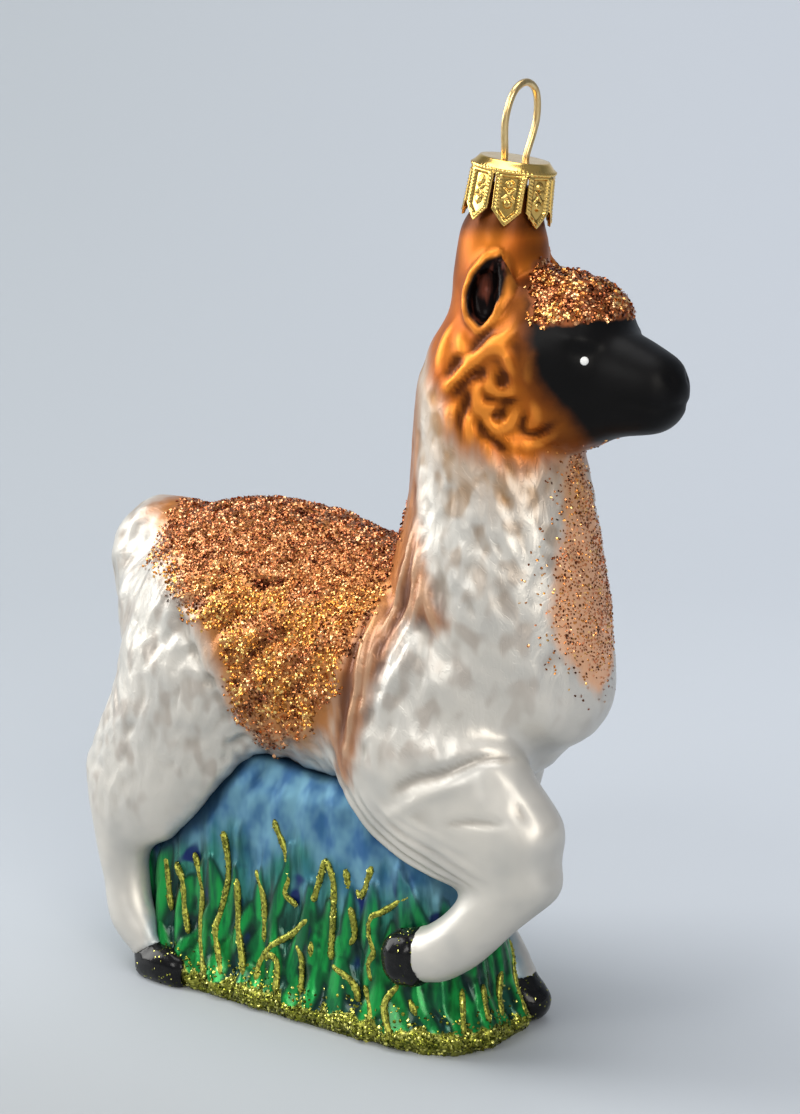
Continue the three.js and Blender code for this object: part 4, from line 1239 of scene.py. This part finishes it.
def tabMesh():  # one eighth of the cap, from its middle down to a tab's point
    wide = cap["across"]
    bandFoot = cap["height"] - cap["band"]
    u = np.linspace(-1, 1, wide + 1)
    rows = []
    sector = np.pi / cap["tabs"]
    for radius in (0.0, 1.2, 2.4, 3.4, 4.0, cap["topRadius"]):
        rows.append([(radius * math.cos(a), radius * math.sin(a), cap["height"]) for a in u * sector])
    for height in np.linspace(cap["height"], bandFoot, 9)[1:]:
        r = capRadius(height)
        s = u * sector * r
        push = tabRelief(s, height, 9, -9)
        rows.append([((r + p) * math.cos(a), (r + p) * math.sin(a), height)
                     for a, p in zip(u * sector, push)])
    for t in np.linspace(0, 1, cap["down"]):
        lowest = cap["point"] * np.abs(u) ** 1.1
        h = bandFoot - 0.02 + (lowest - bandFoot + 0.02) * t
        r = capRadius(h)
        gap = np.interp(h, [cap["point"], bandFoot], [cap["gapAtPoint"], cap["gapAtBand"]]) / 2
        half = r * sector - gap
        s = u * half
        push = tabRelief(s, h, half, lowest)
        flat = r * np.cos(sector) / np.cos(np.clip(s / r, -sector, sector))
        r = r * 0.35 + flat * 0.65 + 0.12 + push
        a = s / capRadius(h)
        rows.append(list(zip(r * np.cos(a), r * np.sin(a), h)))
    points = np.array(rows)
    count = len(points)
    grid = np.arange(count * (wide + 1)).reshape(count, wide + 1)
    quads = np.stack([grid[:-1, :-1], grid[1:, :-1], grid[1:, 1:], grid[:-1, 1:]], -1).reshape(-1, 4)
    return meshOf("cap_tab", points.reshape(-1, 3), quads)


def ringTree():  # turns copies of a piece round the upright axis
    tree, inputs = startTree("copies round an axis", [
        ("Copies", "Int"), ("First", "Float"), ("Weld", "Float")])
    net = Net(tree)
    given = net.node("NodeGroupInput")
    copies = given.also("Copies")
    spots = net.node("GeometryNodeMeshLine", {"mode": "OFFSET"}, {"Count": copies, "Offset": (0, 0, 0)})
    index = net.node("GeometryNodeInputIndex")
    turn = given.also("First") + index * (2 * math.pi / copies)
    euler = net.node("ShaderNodeCombineXYZ", None, {"Z": turn})
    placed = net.node("GeometryNodeInstanceOnPoints", None, {
        "Points": spots, "Instance": given,
        "Rotation": net.node("FunctionNodeEulerToRotation", None, {"Euler": euler})})
    real = net.node("GeometryNodeRealizeInstances", None, {"Geometry": placed})
    welded = net.node("GeometryNodeMergeByDistance", None,
                      {"Geometry": real, "Distance": given.also("Weld")})
    done = net.node("GeometryNodeSetMaterial", None,
                    {"Geometry": welded, "Material": given.also("Material")})
    net.node("NodeGroupOutput", None, {0: done})
    return tree, inputs


def paintGold(net):
    tarnish = net.noise(1.6, detail=3.0)
    fine = net.noise(0.25, detail=2.0)
    # painted shade in the stamped recesses, where the sheet's pointiness is low
    low = net.node("ShaderNodeNewGeometry", out="Pointiness").fade(0.50, 0.46)
    colour = net.mix(tarnish.fade(0.3, 0.75), (0.95, 0.64, 0.19), (0.82, 0.51, 0.13))
    colour = net.mix(low * 0.8, colour, (0.26, 0.14, 0.03))
    return gloss(net, {"Base Color": colour, "Metallic": 1.0, "Roughness": 0.13 + 0.12 * tarnish,
                       "Normal": bump(net, fine, 0.12, 0.05)})


gold = material("stamped gold sheet", paintGold)
ring, ringInputs = ringTree()
capPiece = grown(tabMesh(), ring, ringInputs, {
    "Copies": cap["tabs"], "First": cap["firstGap"] + math.pi / cap["tabs"], "Weld": 0.01 * mm,
    "Material": gold}, "stamped_cap")
thick = capPiece.modifiers.new("sheet", "SOLIDIFY")
thick.thickness = cap["sheet"] * mm
thick.offset = -1.0
capPiece.data.transform(capPlace)
bpy.context.view_layer.update()
solidCap = bpy.data.meshes.new_from_object(capPiece.evaluated_get(bpy.context.evaluated_depsgraph_get()))
capPiece.modifiers.clear()
capPiece.data = solidCap
solidCap.shade_smooth()
say("cap")

# mm above the cap's top; the legs enter it and spread inside
loop = {"wire": 0.45, "entry": 2.3, "belly": 3.35, "bellyHeight": 4.6, "height": 9.2, "spread": 2.9,
        "depth": 1.35}


def tube(name, path, radius, sides=16):  # a round wire with flat ends
    ahead = unit(np.gradient(path, axis=0))
    across = np.tile([1.0, 0, 0], (len(path), 1))
    across = unit(across - ahead * (across * ahead).sum(1)[:, None])
    points, quads, grid = ringsRound(path, radius, across, np.cross(ahead, across), sides)
    return plainMesh(name, points * mm, quads.tolist() + [grid[0, ::-1].tolist(), grid[-1].tolist()])


half = [(loop["spread"], -loop["depth"]), (loop["entry"], 0), (loop["belly"], loop["bellyHeight"]),
        (loop["belly"] * 0.72, loop["height"] * 0.87)]
turns = [(-a, b) for a, b in half] + [(0, loop["height"])] + half[::-1]
loopPath = smoothPath([(0, a, cap["height"] + b) for a, b in turns], 10)
wireLoop = tube("wire_loop", loopPath, loop["wire"])
wireLoop.data.transform(capPlace)


def paintWire(net):
    drawn = net.noise(0.35, stretch=(1, 1, 5), detail=2.0)
    colour = net.mix(drawn.fade(0.3, 0.7), (0.80, 0.60, 0.30), (0.68, 0.47, 0.20))
    return gloss(net, {"Base Color": colour, "Metallic": 1.0, "Roughness": 0.26 + 0.1 * drawn,
                       "Normal": bump(net, drawn, 0.15, 0.05)})


wireLoop.data.materials.append(material("satin brass wire", paintWire))
say("wire loop")

eye = {"place": (39.0, 6.3, 89.6), "radius": 0.52, "dome": 0.2, "rings": 5, "sides": 20}   # mm


def dot(name, sign):  # a drop of white paint on the face
    at = settle(bodyField, np.array([eye["place"]]) * [1, sign, 1], body["level"])
    out = unit(slope(bodyField, at))[0]
    at = at[0]
    nearest = np.argmin(((shaped - at) ** 2).sum(1))
    at = at + out * max((shaped[nearest] - at) @ out, 0)
    across = unit(np.cross(out, [0, 0, 1.0]))
    up = np.cross(across, out)
    sides = eye["sides"]
    turn = np.arange(sides) * 2 * np.pi / sides
    rows = [at + out * eye["dome"]]
    for tilt in np.linspace(0, 1, eye["rings"] + 1)[1:] * 0.6 * np.pi:
        wide, high = eye["radius"] * math.sin(tilt), eye["dome"] * math.cos(tilt)
        rows += [at + out * high + wide * (across * math.cos(a) + up * math.sin(a)) for a in turn]
    faces = []
    for k in range(sides):
        m = (k + 1) % sides
        faces.append((0, 1 + k, 1 + m))
        for first in range(1, 1 + sides * (eye["rings"] - 1), sides):
            after = first + sides
            faces.append((first + k, after + k, after + m, first + m))
    foot = 1 + sides * (eye["rings"] - 1)
    faces.append([foot + k for k in range(sides)][::-1])
    return plainMesh(name, np.array(rows) * mm, faces)


def paintDot(net):
    brushed = net.noise(0.4)
    return gloss(net, {"Base Color": net.mix(brushed, (0.80, 0.80, 0.78), (0.92, 0.92, 0.90)),
                       "Roughness": 0.3 + 0.1 * brushed})


dotMaterial = material("white paint", paintDot)
eyes = {"eye_dot_right": dot("white_eye_right", -1), "eye_dot_left": dot("white_eye_left", 1)}
for piece in eyes.values():
    piece.data.materials.append(dotMaterial)

# what each piece is made of and stands for; glitter stands for no solid
standing = [(skin, "pearl_glass", glassNodes)]
standing += [(piece, "black_gloss", [name]) for name, piece in hooves.items()]
standing += [(ground, "painted_grass", ["grass_mound"]), (capPiece, "gold_cap", ["cap"]),
             (wireLoop, "hanger_wire", ["hanger_loop"])]
standing += [(piece, "white_dot", [name]) for name, piece in eyes.items()]
for piece, slot, nodes in standing:
    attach(piece, "root")
    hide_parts(*nodes)
for piece, slot in pieces:
    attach(piece, "root")

studio = {
    "floorReach": 0.26,     # m behind the ornament, where the floor starts to curve up
    "curve": 0.5,           # m, radius of that curve
    "width": 6.0,
}
view = {
    "from": (0.18470, -0.23640, 0.11964), "at": (0.00703, 0.0, 0.06124),
    "lens": 74.52, "film": 36.0,
}
sight = Vector(view["at"]) - Vector(view["from"])
level = Vector((sight.x, sight.y, 0)).normalized()
acrossView = Vector((level.y, -level.x, 0))
profile = [(-2.0, 0.0), (studio["floorReach"], 0.0)]
for k in range(1, 17):
    a = k / 16 * math.pi / 2
    profile.append((studio["floorReach"] + studio["curve"] * math.sin(a),
                    studio["curve"] * (1 - math.cos(a))))
profile.append((studio["floorReach"] + studio["curve"], 3.0))
rows = []
for reach, up in profile:
    for end in (-1, 1):
        rows.append(level * reach + acrossView * end * studio["width"] / 2 + Vector((0, 0, up)))
floor = plainMesh("floor", rows, [(2 * k, 2 * k + 1, 2 * k + 3, 2 * k + 2) for k in range(len(profile) - 1)])


def paintFloor(net):
    place = net.node("ShaderNodeTexCoord", out="Object")
    cloud = net.node("ShaderNodeTexNoise", None, {"Vector": place, "Scale": 3.0, "Detail": 1.0})
    across, ahead = (
        net.node("ShaderNodeVectorMath", {"operation": "DOT_PRODUCT"}, {0: place, 1: tuple(way)}, out="Value")
        for way in (acrossView, level))
    # painted light and shade: the paper darker to the left and darker still near the camera on the left,
    # lighter to the right
    colour = net.layers(
        net.mix(across.fade(-0.3, 0.35), (0.365, 0.395, 0.42), (0.60, 0.64, 0.70)),
        (ahead.fade(0.05, -0.09) * across.fade(0.15, -0.1) * 0.85, (0.305, 0.32, 0.318)),
        (cloud * 0.1, (0.60, 0.62, 0.66)))
    return gloss(net, {"Base Color": colour, "Roughness": 0.6, "Specular IOR Level": 0.2})


floor.data.materials.append(material("pale paper", paintFloor))


def lamp(name, place, size, power, colour):  # aimed at the ornament; sizes in m, power in W
    light = bpy.data.lights.new(name, "AREA")
    light.shape = "RECTANGLE"
    light.size, light.size_y = size
    light.energy = power
    light.color = colour
    made = linked(name, light)
    made.location = place
    made.rotation_euler = (Vector((0, 0, 0.05)) - Vector(place)).to_track_quat("-Z", "Y").to_euler()


lamp("left window", (-0.78, -0.30, 0.42), (0.5, 0.7), 7.0, (1.0, 0.99, 0.96))
lamp("ceiling", (-0.05, -0.05, 0.95), (0.7, 0.7), 5.5, (1.0, 1.0, 1.0))
lamp("front window", (-0.12, -0.78, 0.46), (0.30, 0.34), 2.4, (1.0, 0.98, 0.94))
lamp("side window", (0.55, -0.42, 0.36), (0.32, 0.36), 2.4, (1.0, 0.95, 0.87))
world = bpy.data.worlds.new("studio")
bpy.context.scene.world = world
world.use_nodes = True
sky = world.node_tree.nodes["Background"]
sky.inputs["Color"].default_value = (0.78, 0.84, 0.95, 1)
sky.inputs["Strength"].default_value = 0.3

eyeLens = bpy.data.cameras.new("camera")
eyeLens.sensor_fit = "VERTICAL"
eyeLens.sensor_height = view["film"]
eyeLens.lens = view["lens"]
eyeLens.clip_start = 0.01
camera = linked("camera", eyeLens)
camera.location = view["from"]
camera.rotation_euler = sight.to_track_quat("-Z", "Y").to_euler()
bpy.context.scene.camera = camera
bpy.context.scene.view_settings.view_transform = "Standard"
say("scene ready")
